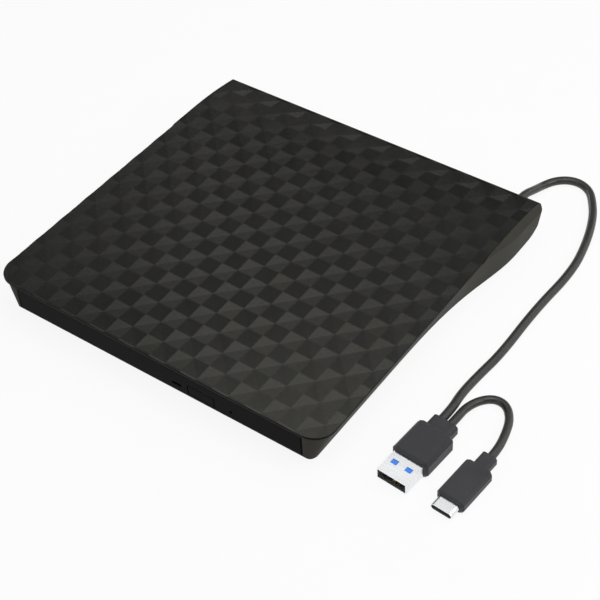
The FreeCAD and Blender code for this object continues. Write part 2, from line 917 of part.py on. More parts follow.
def window_outline(grow):
    inner = frame_inner - window_margin + grow
    outer = frame_outer - window_margin + grow
    half = window_half + grow
    tip = frame_tip_half + grow
    start = frame_chamfer_start + grow / 2
    return [(-inner, -half), (start, -half), (outer, -tip), (outer, tip), (start, half), (-inner, half)]


def disc_tray():
    body = box(-tray_half, tray_half, drive_front, tray_rear, tray_bottom, tray_top)
    under = box(-tray_half + tray_wall, tray_half - tray_wall, drive_front + tray_end_wall,
                tray_rear - tray_end_wall, tray_bottom - 1, deck_under)
    recess = upright(recess_radius, 0, disc_y, deck_top, tray_top + 1)
    window = on_deck(polygon_prism(window_outline(0.0), deck_under - 1, deck_top + 1))
    rebate = on_deck(polygon_prism(window_outline(shield_overlap),
                                   deck_top - shield_thickness, deck_top + 1))
    groove = box(rail_inner - rail_side_gap, tray_half + 1, drive_front - 1, tray_rear + 1,
                 rail_z - rail_gap, rail_z + rail_height + rail_gap)
    post_x_place, post_y_place = latch_post_place()
    post_way = box(post_x_place - latch_post_radius - 0.8, post_x_place + latch_post_radius + 0.8,
                   tray_rear - tray_end_wall - 1, tray_rear + 1, tray_bottom - 1,
                   case_floor + latch_post_height + 0.4)
    connector_way = box(-rear_board_left - 1, connector_x + connector_width / 2 + 1.5,
                        tray_rear - 8, tray_rear + 1, tray_bottom - 1, deck_under)
    button_way = box(button_x - 3.0, button_x + 3.0, drive_front - 1, drive_front + tray_end_wall + 0.1,
                     button_z - 1.4, button_z + 1.4)
    lamp_way = box(lamp_x - lamp_width / 2 - 0.2, lamp_x + lamp_width / 2 + 0.2, drive_front - 1,
                   drive_front + tray_end_wall + 0.1, button_z - 0.8, button_z + 0.8)
    bore = rod_along((0, 1, 0), plunger_radius + 0.1,
                     (plunger_x, tray_rear - tray_end_wall - 1, plunger_z()), 4)
    cutters = [under, recess, window, rebate, groove, mirrored(groove), post_way, connector_way,
               button_way, lamp_way, bore]
    tray = cut_all(body, cutters)
    return fused([tray] + damper_bosses() + board_bosses() + [plunger_tube(), latch_pin(), switch_seat()])


def damper_places():
    near = -(frame_inner - damper_inset)
    return [(near, frame_half + damper_offset), (near, -(frame_half + damper_offset)),
            (frame_inner + damper_third, -(frame_half + damper_offset))]


def damper_bosses():
    return [on_deck(upright(damper_bore - 0.1, u, v, damper_z() + damper_height - 1.2, deck_under + 0.3))
            for u, v in damper_places()]


def damper_z():
    return deck_under - damper_height


def drive_board_front():
    return tray_rear - tray_end_wall - 2.0 - drive_board_depth


def board_bosses():
    y0 = drive_board_front()
    places = [(drive_board_x + 2.5, y0 + 2.5), (drive_board_x + drive_board_width - 2.5, y0 + 2.5),
              (drive_board_x + drive_board_width / 2, y0 + drive_board_depth - 2.5)]
    return [upright(1.6, x, y, deck_under - board_boss, deck_under + 0.3) for x, y in places]


def plunger_z():
    return tray_bottom + 1.4


def plunger_tube():
    y1 = tray_rear
    y0 = y1 - plunger_length - spring_length + 1.5
    tube = box(plunger_x - 1.7, plunger_x + 1.7, y0 - 1, y1, tray_bottom, tray_bottom + plunger_housing)
    bore = rod_along((0, 1, 0), plunger_radius + 0.1, (plunger_x, y0 - 0.3, plunger_z()), y1 - y0 + 1)
    return tube.cut(bore)


def eject_plunger():
    y1 = drive_rear - cover_sheet - sheet_gap - case_sheet - 0.05
    y0 = y1 - plunger_length
    return rod_along((0, 1, 0), plunger_radius, (plunger_x, y0, plunger_z()), plunger_length)


def eject_spring():
    y1 = drive_rear - cover_sheet - sheet_gap - case_sheet - 0.05 - plunger_length
    radius = spring_radius - spring_wire / 2
    helix = Part.makeHelix(spring_length / spring_turns, spring_length - 0.4, radius)
    section = Part.Wire(Part.makeCircle(spring_wire / 2, V(radius, 0, 0), V(0, 1, 0)))
    coil = Part.Wire(helix.Edges).makePipeShell([section], True, True)
    coil.rotate(V(0, 0, 0), V(1, 0, 0), 90)
    coil.translate(V(plunger_x, y1 - 0.2, plunger_z()))
    return coil


def switch_seat():
    return box(button_x - 4, button_x + 4, drive_front + tray_end_wall - 0.3, switch_board_y(),
               deck_under - 0.8, deck_under + 0.3)


def tray_bezel():
    panel = box(-drive_half, drive_half, face_y, drive_front, bezel_z, bezel_top)
    front_edges = [edge for edge in upright_edges(panel, bezel_z, bezel_top)
                   if edge.Vertexes[0].Point.y < face_y + 0.01]
    panel = panel.makeFillet(0.5, front_edges)
    way = button_gap
    button_hole = box(button_x - button_width / 2 - way, button_x + button_width / 2 + way, face_y - 1,
                      face_y + button_cap + button_travel + 0.2,
                      button_z - button_height / 2 - way, button_z + button_height / 2 + way)
    stem_hole = box(button_x - 2.5, button_x + 2.5, face_y, drive_front + 1, button_z - 1.2, button_z + 1.2)
    lamp_half, lamp_rise = lamp_width / 2 + lamp_gap, lamp_height / 2 + lamp_gap
    lamp_hole = box(lamp_x - lamp_half, lamp_x + lamp_half, face_y - 1, drive_front + 1,
                    button_z - lamp_rise, button_z + lamp_rise)
    pinhole = rod_along((0, 1, 0), pinhole_radius, (pinhole_x, face_y - 1, button_z), bezel_thickness + 2)
    return cut_all(panel, [button_hole, stem_hole, lamp_hole, pinhole])


def eject_button():
    low, high = button_z - button_height / 2, button_z + button_height / 2
    cap = box(button_x - button_width / 2, button_x + button_width / 2, face_y, face_y + button_cap, low, high)
    cap = cap.makeFillet(0.4, upright_edges(cap, low, high))
    stem_end = switch_board_y() - switch_depth - button_travel - 0.1
    stem = box(button_x - 2.2, button_x + 2.2, face_y + button_cap - 0.2, stem_end,
               button_z - 0.9, button_z + 0.9)
    return fused([cap, stem])


def switch_board_y():
    return drive_front + tray_end_wall + 1.2


def light_pipe():
    return box(lamp_x - lamp_width / 2, lamp_x + lamp_width / 2, face_y, switch_board_y() - 0.6,
               button_z - lamp_height / 2, button_z + lamp_height / 2)


def switch_board():
    y0 = switch_board_y()
    x0 = lamp_x - 6.0
    board = box(x0, x0 + switch_board_width, y0, y0 + switch_board_thickness,
                deck_under - switch_board_height, deck_under)
    return board


def tact_switch():
    y0 = switch_board_y()
    body = box(button_x - 1.6, button_x + 1.6, y0 - switch_depth, y0, button_z - 1.0, button_z + 1.0)
    lamp = box(lamp_x - 1.0, lamp_x + 1.0, y0 - 0.5, y0, button_z - 0.5, button_z + 0.5)
    return [body, lamp]


def drive_board():
    y0 = drive_board_front()
    top = deck_under - board_boss
    return box(drive_board_x, drive_board_x + drive_board_width, y0, y0 + drive_board_depth,
               top - drive_board_thickness, top)


def drive_chips():
    y0 = drive_board_front()
    top = deck_under - board_boss - drive_board_thickness
    chips = []
    for along, back, width, depth, height in drive_chip_places:
        x, y = drive_board_x + along, y0 + back
        chips.append(box(x, x + width, y, y + depth, top - height, top))
    for index in range(drive_part_count):
        x = drive_board_x + drive_part_start + index * drive_part_pitch
        chips.append(box(x, x + part_length, y0 + part_inset, y0 + part_inset + part_width,
                         top - part_height, top))
    return chips


# Pick-up mechanism

def deck_shield():
    plate = polygon_prism(window_outline(shield_overlap - shield_gap),
                          deck_top - shield_thickness, deck_top)
    hub_hole = upright(hub_opening, 0, 0, deck_top - 1, deck_top + 1)
    slot = rounded_block(0, lens_outer + holder_half_u + 1.2, -lens_slot_half, lens_slot_half,
                         deck_top - 1, deck_top + 1, 2.0)
    return on_deck(cut_all(plate, [hub_hole, slot]))


def traverse_frame():
    outline = [(-frame_inner, -frame_half), (frame_chamfer_start, -frame_half),
               (frame_outer, -frame_tip_half), (frame_outer, frame_tip_half),
               (frame_chamfer_start, frame_half), (-frame_inner, frame_half)]
    plate = polygon_prism(outline, frame_z, frame_top)
    ears = [upright(damper_radius + 1.4, u, v, frame_z, frame_top) for u, v in damper_places()]
    links = [box(u - 3.0, u + 3.0, min(v, math.copysign(frame_half - 1, v)),
                 max(v, math.copysign(frame_half - 1, v)), frame_z, frame_top) for u, v in damper_places()]
    screw_arm = box(lead_end - 1.0, lead_end + 0.6, frame_half - 6, screw_offset + 1.4, frame_z, frame_top)
    motor_arm = box(0.0, lead_start + 1.4, frame_half - 1, screw_offset + motor_width / 2 + 0.6,
                    frame_z, frame_top)
    tabs = []
    for u in (lens_inner - sled_inner - tab_thickness - 0.4, lens_outer + sled_outer + 0.4):
        for side in (-1, 1):
            v = side * rod_offset
            tabs.append(box(u, u + tab_thickness, v - tab_half, v + tab_half, rod_z - 1.4, frame_z + 0.2))
    tabs.append(box(lead_end - 0.6, lead_end + 0.4, screw_offset - 1.4, screw_offset + 1.4,
                    rod_z - 1.4, frame_z + 0.2))
    tabs.append(box(lead_start, lead_start + 1.0, screw_offset - 2.6, screw_offset + 2.6,
                    rod_z - 1.4, frame_z + 0.2))
    body = fused([plate, screw_arm, motor_arm] + ears + links + tabs)
    cutters = [upright(rotor_radius + rotor_hole_gap, 0, 0, frame_z - 1, frame_top + 1),
               box(slot_inner, slot_outer, -slot_half, slot_half, frame_z - 1, frame_top + 1),
               box(0.0, lead_start - 0.4, screw_offset - motor_width / 2 - 0.3,
                   screw_offset + motor_width / 2 + 2, frame_z - 1, frame_top + 1)]
    cutters += [upright(damper_radius - damper_groove + 0.05, u, v, frame_z - 1, frame_top + 1)
                for u, v in damper_places()]
    for side in (-1, 1):
        cutters.append(rod_along((1, 0, 0), rod_radius + rod_fit,
                                 (0, side * rod_offset, rod_z), frame_outer))
    cutters.append(rod_along((1, 0, 0), lead_radius + lead_fit, (lead_start - 1, screw_offset, rod_z), lead_end))
    return on_deck(cut_all(body, cutters))


def guide_rods():
    u0 = lens_inner - sled_inner - tab_thickness - 0.4
    length = lens_outer + sled_outer + 0.4 + tab_thickness - u0
    return [on_deck(rod_along((1, 0, 0), rod_radius, (u0, side * rod_offset, rod_z), length))
            for side in (-1, 1)]


def damper_bushes():
    bushes = []
    for u, v in damper_places():
        ring = upright(damper_radius, u, v, damper_z(), damper_z() + damper_height)
        groove = upright(damper_radius + 1, u, v, frame_z - 0.02, frame_top + 0.02)
        groove = groove.cut(upright(damper_radius - damper_groove, u, v, frame_z - 1, frame_top + 1))
        bore = upright(damper_bore, u, v, frame_z - 3, frame_top + 3)
        bushes.append(on_deck(cut_all(ring, [groove, bore])))
    return bushes


def damper_screws():
    screws = []
    for u, v in damper_places():
        head = upright(damper_head_radius, u, v, damper_z() - damper_head, damper_z())
        shank = upright(damper_screw_radius - 0.1, u, v, damper_z() - 0.1, damper_z() + damper_height - 1.2)
        screws.append(on_deck(fused([head, shank])))
    return screws


def spindle_motor():
    low = sled_bottom
    flange = upright(spindle_flange_radius, 0, 0, frame_z - spindle_flange, frame_z)
    stator = upright(stator_radius, 0, 0, low + 0.6, frame_z)
    cup = upright(bearing_radius + 1.0, 0, 0, low, low + 1.0)
    bearing = upright(bearing_radius, 0, 0, low, frame_top - 0.2)
    well = upright(stator_radius - 1.0, 0, 0, frame_z - 0.6, frame_z + 1)
    body = fused([flange, stator]).cut(well)
    body = fused([body, cup, bearing])
    return on_deck(body.cut(upright(shaft_radius + shaft_fit, 0, 0, low + 0.4, frame_top + 1)))


def disc_hub():
    low = sled_bottom
    table_top = disc_under - mat_thickness
    shaft = upright(shaft_radius, 0, 0, low + 0.5, table_top)
    bell = upright(rotor_radius, 0, 0, frame_z + 0.3, table_top - turntable_thickness)
    hollow = upright(rotor_radius - 0.8, 0, 0, frame_z - 1, table_top - turntable_thickness - 0.9)
    table = upright(turntable_radius, 0, 0, table_top - turntable_thickness, table_top)
    cone = upright(hub_radius, 0, 0, table_top - 0.1, disc_under + hub_height)
    cone = cone.makeChamfer(0.5, [edge for edge in cone.Edges if edge.BoundBox.ZMin > disc_under + 1])
    claws = []
    for index in range(claw_count):
        claw = box(hub_radius - 1.0, hub_radius + claw_reach, -claw_width / 2, claw_width / 2,
                   disc_under + 0.75, disc_under + 1.3)
        claw.rotate(V(0, 0, 0), V(0, 0, 1), index * 360.0 / claw_count)
        claws.append(claw)
    return on_deck(fused([bell.cut(hollow), shaft, table, cone] + claws))


def hub_mat():
    ring = upright(turntable_radius, 0, 0, disc_under - mat_thickness, disc_under)
    return on_deck(ring.cut(upright(mat_inner, 0, 0, disc_under - 1, disc_under + 1)))


def laser_sled():
    inner = lens_inner - sled_inner
    outer = lens_inner + sled_outer
    lower_top = rod_z + rod_radius + 0.35
    lower = box(inner, outer, -sled_ear_half, sled_ear_half, sled_bottom, lower_top)
    upper_top = disc_under - 1.0
    upper = box(inner, outer, -sled_half + 0.8, sled_half - 0.8,
                lower_top - 0.1, min(upper_top, deck_under + 0.2))
    nut = box(inner + 1, inner + 8, sled_ear_half - 0.5, screw_offset + lead_radius + 0.9,
              rod_z - 0.6, rod_z + lead_radius + 0.25)
    sled = fused([lower, upper, nut])
    pocket = box(lens_inner - holder_half_u - holder_gap, lens_inner + holder_half_u + holder_gap,
                 -holder_half_v - holder_gap, holder_half_v + holder_gap, holder_floor(), disc_under)
    cutters = [pocket]
    for side in (-1, 1):
        cutters.append(rod_along((1, 0, 0), rod_radius + 0.04, (0, side * rod_offset, rod_z), frame_outer))
    cutters.append(rod_along((1, 0, 0), lead_radius + lead_fit, (0, screw_offset, rod_z), frame_outer))
    return on_deck(cut_all(sled, cutters))


def holder_floor():
    return deck_under - 1.1


def holder_bottom():
    return holder_floor() + focus_travel + 0.3


def lens_holder():
    low = holder_bottom()
    high = disc_under - 0.9
    block = rounded_block(lens_inner - holder_half_u, lens_inner + holder_half_u, -holder_half_v, holder_half_v,
                          low, high, 0.8)
    seat = upright(lens_radius + 0.01, lens_inner, 0, high - 0.4, high + 1)
    light_way = upright(lens_radius - 0.5, lens_inner, 0, low - 1, high)
    return on_deck(cut_all(block, [seat, light_way]))


def objective_lens():
    high = disc_under - 0.9
    body = upright(lens_radius, lens_inner, 0, high - 0.4, high)
    ball_radius = (lens_radius ** 2 + lens_dome ** 2) / (2 * lens_dome)
    ball = Part.makeSphere(ball_radius, V(lens_inner, 0, high + lens_dome - ball_radius))
    dome = ball.common(upright(lens_radius, lens_inner, 0, high - 0.1, high + 1))
    return on_deck(fused([body, dome]))


def lead_screw():
    shaft = rod_along((1, 0, 0), lead_radius, (lead_start - 0.3, screw_offset, rod_z),
                      lead_end - lead_start)
    return on_deck(shaft)


def sled_motor():
    low = sled_bottom
    high = deck_under - motor_flat
    body = box(lead_start - 0.3 - motor_length, lead_start - 0.4, screw_offset - motor_width / 2,
               screw_offset + motor_width / 2, low, high)
    along = [edge for edge in body.Edges if abs(edge.Length - body.BoundBox.XLength) < 1e-6]
    return on_deck(body.makeFillet(0.8, along))


# Latch

def latch_pivot_place():
    x, y = latch_post_place()
    return x - 4.2, y - latch_arm


def latch_z():
    return case_floor + latch_post_height - latch_thickness - 0.4


def latch_pin():
    x, y = latch_pivot_place()
    return upright(pivot_radius, x, y, latch_z() - 0.5, deck_under + 0.3)


def latch_lever():
    x, y = latch_pivot_place()
    post_x_place, post_y_place = latch_post_place()
    low, high = latch_z(), latch_z() + latch_thickness
    hook_y = post_y_place + latch_post_radius + latch_hook_gap
    nose_x = post_x_place - latch_post_radius - latch_clear
    arm = box(x - latch_arm_width / 2, x + latch_arm_width / 2, y, hook_y + 1.6, low, high)
    nose = box(x, nose_x, hook_y, hook_y + 1.6, low, high)
    eye = upright(pivot_radius + 1.3, x, y, low, high)
    tail = box(x - 5.0, x, y - 1.0, y + 1.0, low, high)
    return fused([arm, nose, eye, tail]).cut(upright(pivot_radius + pivot_fit, x, y, low - 1, high + 1))


def latch_solenoid():
    x, y = latch_pivot_place()
    body = box(x - 6.0 - solenoid_width, x - 6.0, y - solenoid_length / 2, y + solenoid_length / 2,
               tray_bottom + 0.2, deck_under)
    return body


# Bridge electronics behind the drive

def bridge_board():
    z0 = drive_z + bridge_lift
    y0 = drive_rear + bridge_gap
    board = box(-bridge_left, bridge_right, y0, rear_inner - bridge_rear_gap, z0, z0 + bridge_thickness)
    holes = [upright(bridge_screw_radius + head_gap, x, bridge_middle(), z0 - 1, z0 + bridge_thickness + 1)
             for x in bridge_screw_places]
    return cut_all(board, holes)


def bridge_screws():
    top = drive_z + bridge_lift + bridge_thickness
    screws = []
    for x in bridge_screw_places:
        head = upright(bridge_head_radius, x, bridge_middle(), top, top + 0.8)
        shank = upright(bridge_screw_radius, x, bridge_middle(), drive_z - 1.0, top)
        screws.append(fused([head, shank]))
    return screws


def bridge_chips():
    top = drive_z + bridge_lift + bridge_thickness
    y = bridge_middle()
    chips = []
    for x, width, depth, height in bridge_chip_places:
        chips.append(box(x - width / 2, x + width / 2, y - depth / 2, y + depth / 2, top, top + height))
    y -= bridge_part_back
    for index in range(bridge_part_count):
        x = bridge_part_start + index * bridge_part_pitch
        chips.append(box(x, x + part_width, y, y + part_length, top, top + bridge_part_height))
    return chips


def inner_lead_route():
    step = inner_lead_turn * 2 * math.tan(math.radians(15)) / 0.9
    x, y, z = gland_x, rear_inner - gland_flange, gland_z
    points = [(x, y, z)]
    for turn_deg, rise in ((0, 0.0), (30, inner_lead_rise), (60, inner_lead_rise), (90, 0.0)):
        turn = math.radians(turn_deg)
        x -= step * math.sin(turn)
        y -= step * math.cos(turn)
        z += rise
        points.append((x, y, z))
    return points


def lead_header():
    top = drive_z + bridge_lift + bridge_thickness
    x, y, z = inner_lead_route()[-1]
    return box(x - header_width, x, y - header_depth / 2, y + header_depth / 2, top, top + header_height)


def strain_relief():
    flange = rod_along((0, 1, 0), gland_flange_radius, (gland_x, rear_inner - gland_flange, gland_z),
                       gland_flange)
    neck = rod_along((0, 1, 0), gland_neck_radius, (gland_x, rear_inner - 0.1, gland_z), shell_wall + 0.2)
    boot = Part.makeCone(gland_boot_radius, gland_tip_radius, gland_length,
                         V(gland_x, rear_y, gland_z), V(0, 1, 0))
    return fused([flange, neck, boot])


# Cords: straight runs joined by tangent arcs

def cord_path(points):
    corners = [V(*point) for point in points]
    edges = []
    start = corners[0]
    radii = []
    for index in range(1, len(corners) - 1):
        before, corner, after = corners[index - 1:index + 2]
        back, ahead = before - corner, after - corner
        turn = math.pi - back.getAngle(ahead)
        radius = 0.45 * min(back.Length, ahead.Length) / math.tan(turn / 2)
        reach = radius * math.tan(turn / 2)
        back.normalize()
        ahead.normalize()
        first, last = corner + back * reach, corner + ahead * reach
        inward = back + ahead
        inward.normalize()
        middle = corner + inward * (radius / math.cos(turn / 2) - radius)
        edges.append(Part.LineSegment(start, first).toShape())
        edges.append(Part.Arc(first, middle, last).toShape())
        start = last
        radii.append(radius)
    edges.append(Part.LineSegment(start, corners[-1]).toShape())
    return Part.Wire(edges), radii


def cord_tube(name, points, diameter):
    path, radii = cord_path(points)
    start = V(*points[0])
    direction = V(*points[1]) - start
    section = Part.Wire(Part.makeCircle(diameter / 2, start, direction))
    tube = path.makePipeShell([section], True, True)
    expected = math.pi * diameter ** 2 / 4 * path.Length
    print("%s length %.1f radii %s volume ratio %.4f" % (
        name, path.Length, " ".join("%.1f" % radius for radius in radii), tube.Volume / expected))
    return tube


def gland_exit():
    return gland_x, rear_y + gland_length, gland_z


def plug_point(origin, across_x, along_y, z):
    turn = math.radians(plug_turn_deg)
    x = origin[0] + across_x * math.cos(turn) - along_y * math.sin(turn)
    y = origin[1] + across_x * math.sin(turn) + along_y * math.cos(turn)
    return x, y, z


def lead_route():
    end = a_length + a_collar_length
    middle = a_height / 2
    return [
        gland_exit(),
        (gland_x, 82.2, gland_z),
        (62.8, 89.4, 3.9),
        (63.0, 95.1, 1.75),
        (65.6, 100.5, 1.65),
        (70.1, 104.1, 1.65),
        (75.2, 104.9, 1.65),
        (80.2, 102.7, 1.65),
        (83.8, 98.2, 1.65),
        (88.8, 89.5, 1.65),
        (93.3, 75.6, 1.65),
        (96.3, 58.3, 1.65),
        (94.5, 33.0, 1.65),
        (95.1, 7.5, 1.65),
        (93.6, -6.4, 1.65),
        (93.3, -17.5, 2.4),
        plug_point(a_origin, a_main_offset, end + 6.6, middle),
        plug_point(a_origin, a_main_offset, end, middle),
    ]


def pigtail_route():
    a_end = a_length + a_collar_length
    c_end = c_length + c_collar_length
    return [
        plug_point(a_origin, a_pigtail_offset, a_end, a_height / 2),
        plug_point(a_origin, a_pigtail_offset, a_end + 4.2, a_height / 2),
        (97.9, -21.9, 2.4),
        (99.9, -15.7, 1.6),
        (104.1, -12.1, 1.55),
        (109.0, -12.7, 1.55),
        (113.0, -17.6, 1.6),
        (115.1, -24.7, 2.0),
        plug_point(c_origin, 0.0, c_end + 4.6, c_height / 2),
        plug_point(c_origin, 0.0, c_end, c_height / 2),
    ]


def inner_leads():
    return cord_tube("inner_leads", inner_lead_route(), inner_lead_diameter)


# Plugs, drawn along +Y from the front of the overmould and turned into place

def at_plug(shape, origin):
    placed = shape.copy()
    placed.rotate(V(0, 0, 0), V(0, 0, 1), plug_turn_deg)
    placed.translate(V(origin[0], origin[1], 0))
    return placed


def grip_section(width, top_width, height, bevel, y):
    half, top_half = width / 2, top_width / 2
    points = [(top_half, height), (half, height - bevel), (half, bevel), (top_half, 0),
              (-top_half, 0), (-half, bevel), (-half, height - bevel), (-top_half, height)]
    corners = [V(x, y, z) for x, z in points]
    return Part.makePolygon(corners + corners[:1])


def grip(width, top_width, height, bevel, length):
    lead_in = plug_lead_in
    small = [value - 1.6 * lead_in for value in (width, top_width)]
    front = grip_section(small[0], small[1], height - lead_in, bevel, 0)
    front.translate(V(0, 0, lead_in / 2))
    body = Part.makeLoft([front, grip_section(width, top_width, height, bevel, lead_in)], True, True)
    section = Part.Face(grip_section(width, top_width, height, bevel, lead_in))
    middle = section.extrude(V(0, length - 2 * lead_in, 0))
    rear = grip_section(small[0], small[1], height - lead_in, bevel, length)
    rear.translate(V(0, 0, lead_in / 2))
    tail_start = grip_section(width, top_width, height, bevel, length - lead_in)
    tail = Part.makeLoft([tail_start, rear], True, True)
    return fused([body, middle, tail])


def collar(width, height, centre_z, y0, length):
    block = box(-width / 2, width / 2, y0 - 1, y0 + length, centre_z - height / 2, centre_z + height / 2)
    along = [edge for edge in block.Edges if abs(edge.Length - length - 1) < 1e-6]
    return block.makeFillet(height * 0.3, along)


def usb_a_overmould():
    body = fused([grip(a_width, a_top_width, a_height, a_bevel, a_length),
                  collar(a_collar_width, a_collar_height, a_height / 2, a_length, a_collar_length)])
    socket = box(-a_shell_width / 2 - plug_fit, a_shell_width / 2 + plug_fit, -1, a_shell_root,
                 a_height / 2 - a_shell_height / 2 - plug_fit, a_height / 2 + a_shell_height / 2 + plug_fit)
    return at_plug(body.cut(socket), a_origin)


def usb_a_shell():
    z0 = (a_height - a_shell_height) / 2
    z1 = z0 + a_shell_height
    half = a_shell_width / 2
    outer = box(-half, half, -a_shell_reach, a_shell_root, z0, z1)
    inner = box(-half + a_shell_wall, half - a_shell_wall, -a_shell_reach - 1, a_shell_root - 0.5,
                z0 + a_shell_wall, z1 - a_shell_wall)
    cutters = [inner]
    for side in (-1, 1):
        x = side * a_window_spacing / 2
        y = -a_shell_reach + a_window_setback
        cutters.append(box(x - a_window_width / 2, x + a_window_width / 2, y, y + a_window_length,
                           z0 - 1, z1 + 1))
    return at_plug(cut_all(outer, cutters), a_origin)


def usb_a_insulator():
    z1 = (a_height + a_shell_height) / 2 - a_shell_wall - plug_fit
    half = a_shell_width / 2 - a_shell_wall - plug_fit
    tongue = box(-half, half, -a_shell_reach + a_tongue_setback, a_shell_root - 0.55,
                 z1 - a_tongue_thickness, z1)
    return at_plug(tongue, a_origin)


def usb_a_contacts():
    z1 = (a_height + a_shell_height) / 2 - a_shell_wall - plug_fit - a_tongue_thickness
    strips = []
    for index in range(contact_count):
        x = (index - (contact_count - 1) / 2) * contact_pitch
        y0 = -a_shell_reach + a_tongue_setback + 0.4
        strips.append(at_plug(box(x - contact_width / 2, x + contact_width / 2, y0, y0 + 6.5,
                                  z1 - contact_thickness, z1), a_origin))
    return strips


def stadium(width, height, centre_z, y0, y1):
    block = box(-width / 2, width / 2, y0, y1, centre_z - height / 2, centre_z + height / 2)
    along = [edge for edge in block.Edges if abs(edge.Length - (y1 - y0)) < 1e-6]
    return block.makeFillet(height / 2 - 0.02, along)


def usb_c_overmould():
    body = fused([grip(c_width, c_top_width, c_height, c_bevel, c_length),
                  collar(c_collar_width, c_collar_height, c_height / 2, c_length, c_collar_length)])
    socket = stadium(c_shell_width + 2 * plug_fit, c_shell_height + 2 * plug_fit, c_height / 2,
                     -1, c_shell_root)
    return at_plug(body.cut(socket), c_origin)


def usb_c_shell():
    outer = stadium(c_shell_width, c_shell_height, c_height / 2, -c_shell_reach, c_shell_root)
    inner = stadium(c_shell_width - 2 * c_shell_wall, c_shell_height - 2 * c_shell_wall, c_height / 2,
                    -c_shell_reach - 1, c_shell_root - 0.5)
    return at_plug(outer.cut(inner), c_origin)


def usb_c_tongue():
    width = c_shell_width - 2 * c_shell_wall - 2 * plug_fit
    height = c_shell_height - 2 * c_shell_wall - 2 * plug_fit
    body = stadium(width, height, c_height / 2, -c_shell_reach + c_tongue_setback, c_shell_root - 0.55)
    slot = box(-c_slot_width / 2, c_slot_width / 2, -c_shell_reach - 1, c_shell_root - 2,
               c_height / 2 - c_slot_height / 2, c_height / 2 + c_slot_height / 2)
    return at_plug(body.cut(slot), c_origin)


def build_all():
    os.makedirs("parts", exist_ok=True)
    guide, rail = right_guide(), right_rail()
    save("right_guide", guide)
    save("left_guide", mirrored(guide))
    save("right_rail", rail)
    save("left_rail", mirrored(rail))
    makers = [
        top_cover, bottom_shell, rubber_feet, case_screws, drive_screws, foam_pads,
        drive_lower_case, drive_upper_case, cover_screws, rear_board, rear_connector, flex_cable, latch_post,
        disc_tray, tray_bezel, eject_button, light_pipe, switch_board, tact_switch, drive_board, drive_chips,
        deck_shield, traverse_frame, guide_rods, damper_bushes, damper_screws, spindle_motor, disc_hub, hub_mat,
        laser_sled, lens_holder, objective_lens, lead_screw, sled_motor, latch_lever, latch_solenoid,
        eject_plunger, eject_spring, bridge_board, bridge_screws, bridge_chips, bridge_connector, lead_header,
        strain_relief, inner_leads, usb_a_overmould, usb_a_shell, usb_a_insulator, usb_a_contacts,
        usb_c_overmould, usb_c_shell, usb_c_tongue,
    ]
    for maker in makers:
        save(maker.__name__, maker())
    save("usb_lead", cord_tube("usb_lead", lead_route(), lead_diameter))
    save("usb_pigtail", cord_tube("usb_pigtail", pigtail_route(), pigtail_diameter))


build_all()
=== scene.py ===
import json
import math
import bmesh
import bpy
from mathutils import Matrix, Vector


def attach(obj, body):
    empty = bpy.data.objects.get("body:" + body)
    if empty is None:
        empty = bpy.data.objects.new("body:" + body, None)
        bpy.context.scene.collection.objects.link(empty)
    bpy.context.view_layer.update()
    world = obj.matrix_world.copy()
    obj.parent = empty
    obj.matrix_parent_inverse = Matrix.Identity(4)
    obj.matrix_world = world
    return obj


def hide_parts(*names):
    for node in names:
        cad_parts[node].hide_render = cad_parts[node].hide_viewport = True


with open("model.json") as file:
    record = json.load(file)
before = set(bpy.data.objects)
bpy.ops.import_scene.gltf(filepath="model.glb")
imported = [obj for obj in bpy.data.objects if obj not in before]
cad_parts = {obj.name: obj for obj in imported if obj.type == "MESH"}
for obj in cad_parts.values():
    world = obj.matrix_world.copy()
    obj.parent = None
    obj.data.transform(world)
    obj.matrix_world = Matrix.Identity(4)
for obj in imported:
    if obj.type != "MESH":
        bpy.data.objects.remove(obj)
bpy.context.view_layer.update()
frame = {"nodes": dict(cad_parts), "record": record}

NODES = frame["nodes"]
SLOT_OF = {row["node"]: row["material_slot"] for row in frame["record"]["subparts"]}
MM = 0.001

# Camera, metres in the shared frame
CAMERA_PLACE = (0.2564, -0.3088, 0.3841)
CAMERA_RIGHT = (0.81890429, 0.57272107, -0.03723361)
CAMERA_DOWN = (0.38406139, -0.59504695, -0.70598582)
CAMERA_AHEAD = (-0.4264887, 0.56383482, -0.70724655)
CAMERA_LENS = 87.12
CAMERA_SHIFT = (-0.0398, -0.0037)

# Cords: the control points of the CAD sweeps, millimetres
LEAD_DIAMETER = 3.3
LEAD_ROUTE = (
    (61.8, 77.5, 6.3), (61.8, 82.2, 6.3), (62.8, 89.4, 3.9), (63.0, 95.1, 1.75),
    (65.6, 100.5, 1.65), (70.1, 104.1, 1.65), (75.2, 104.9, 1.65), (80.2, 102.7, 1.65),
    (83.8, 98.2, 1.65), (88.8, 89.5, 1.65), (93.3, 75.6, 1.65), (96.3, 58.3, 1.65),
    (94.5, 33.0, 1.65), (95.1, 7.5, 1.65), (93.6, -6.4, 1.65), (93.3, -17.5, 2.4),
    (94.740, -26.098, 3.7), (94.252, -32.680, 3.7),
)
PIGTAIL_DIAMETER = 3.1
PIGTAIL_ROUTE = (
    (97.942, -32.953, 3.7), (98.252, -28.765, 3.7), (97.9, -21.9, 2.4), (99.9, -15.7, 1.6),
    (104.1, -12.1, 1.55), (109.0, -12.7, 1.55), (113.0, -17.6, 1.6), (115.1, -24.7, 2.0),
    (116.355, -31.876, 2.5), (116.015, -36.464, 2.5),
)

# Top plate, millimetres, as the CAD plate
PLATE_HALF = 73.5
PLATE_FRONT = -72.5
PLATE_REAR = 71.0
PLATE_TOP = 17.5
PLATE_EDGE = 1.0
FRONT_CORNER = 8.2
REAR_CORNER = 0.5
DROP_START = 46.0
DROP_RADIUS = 146.42

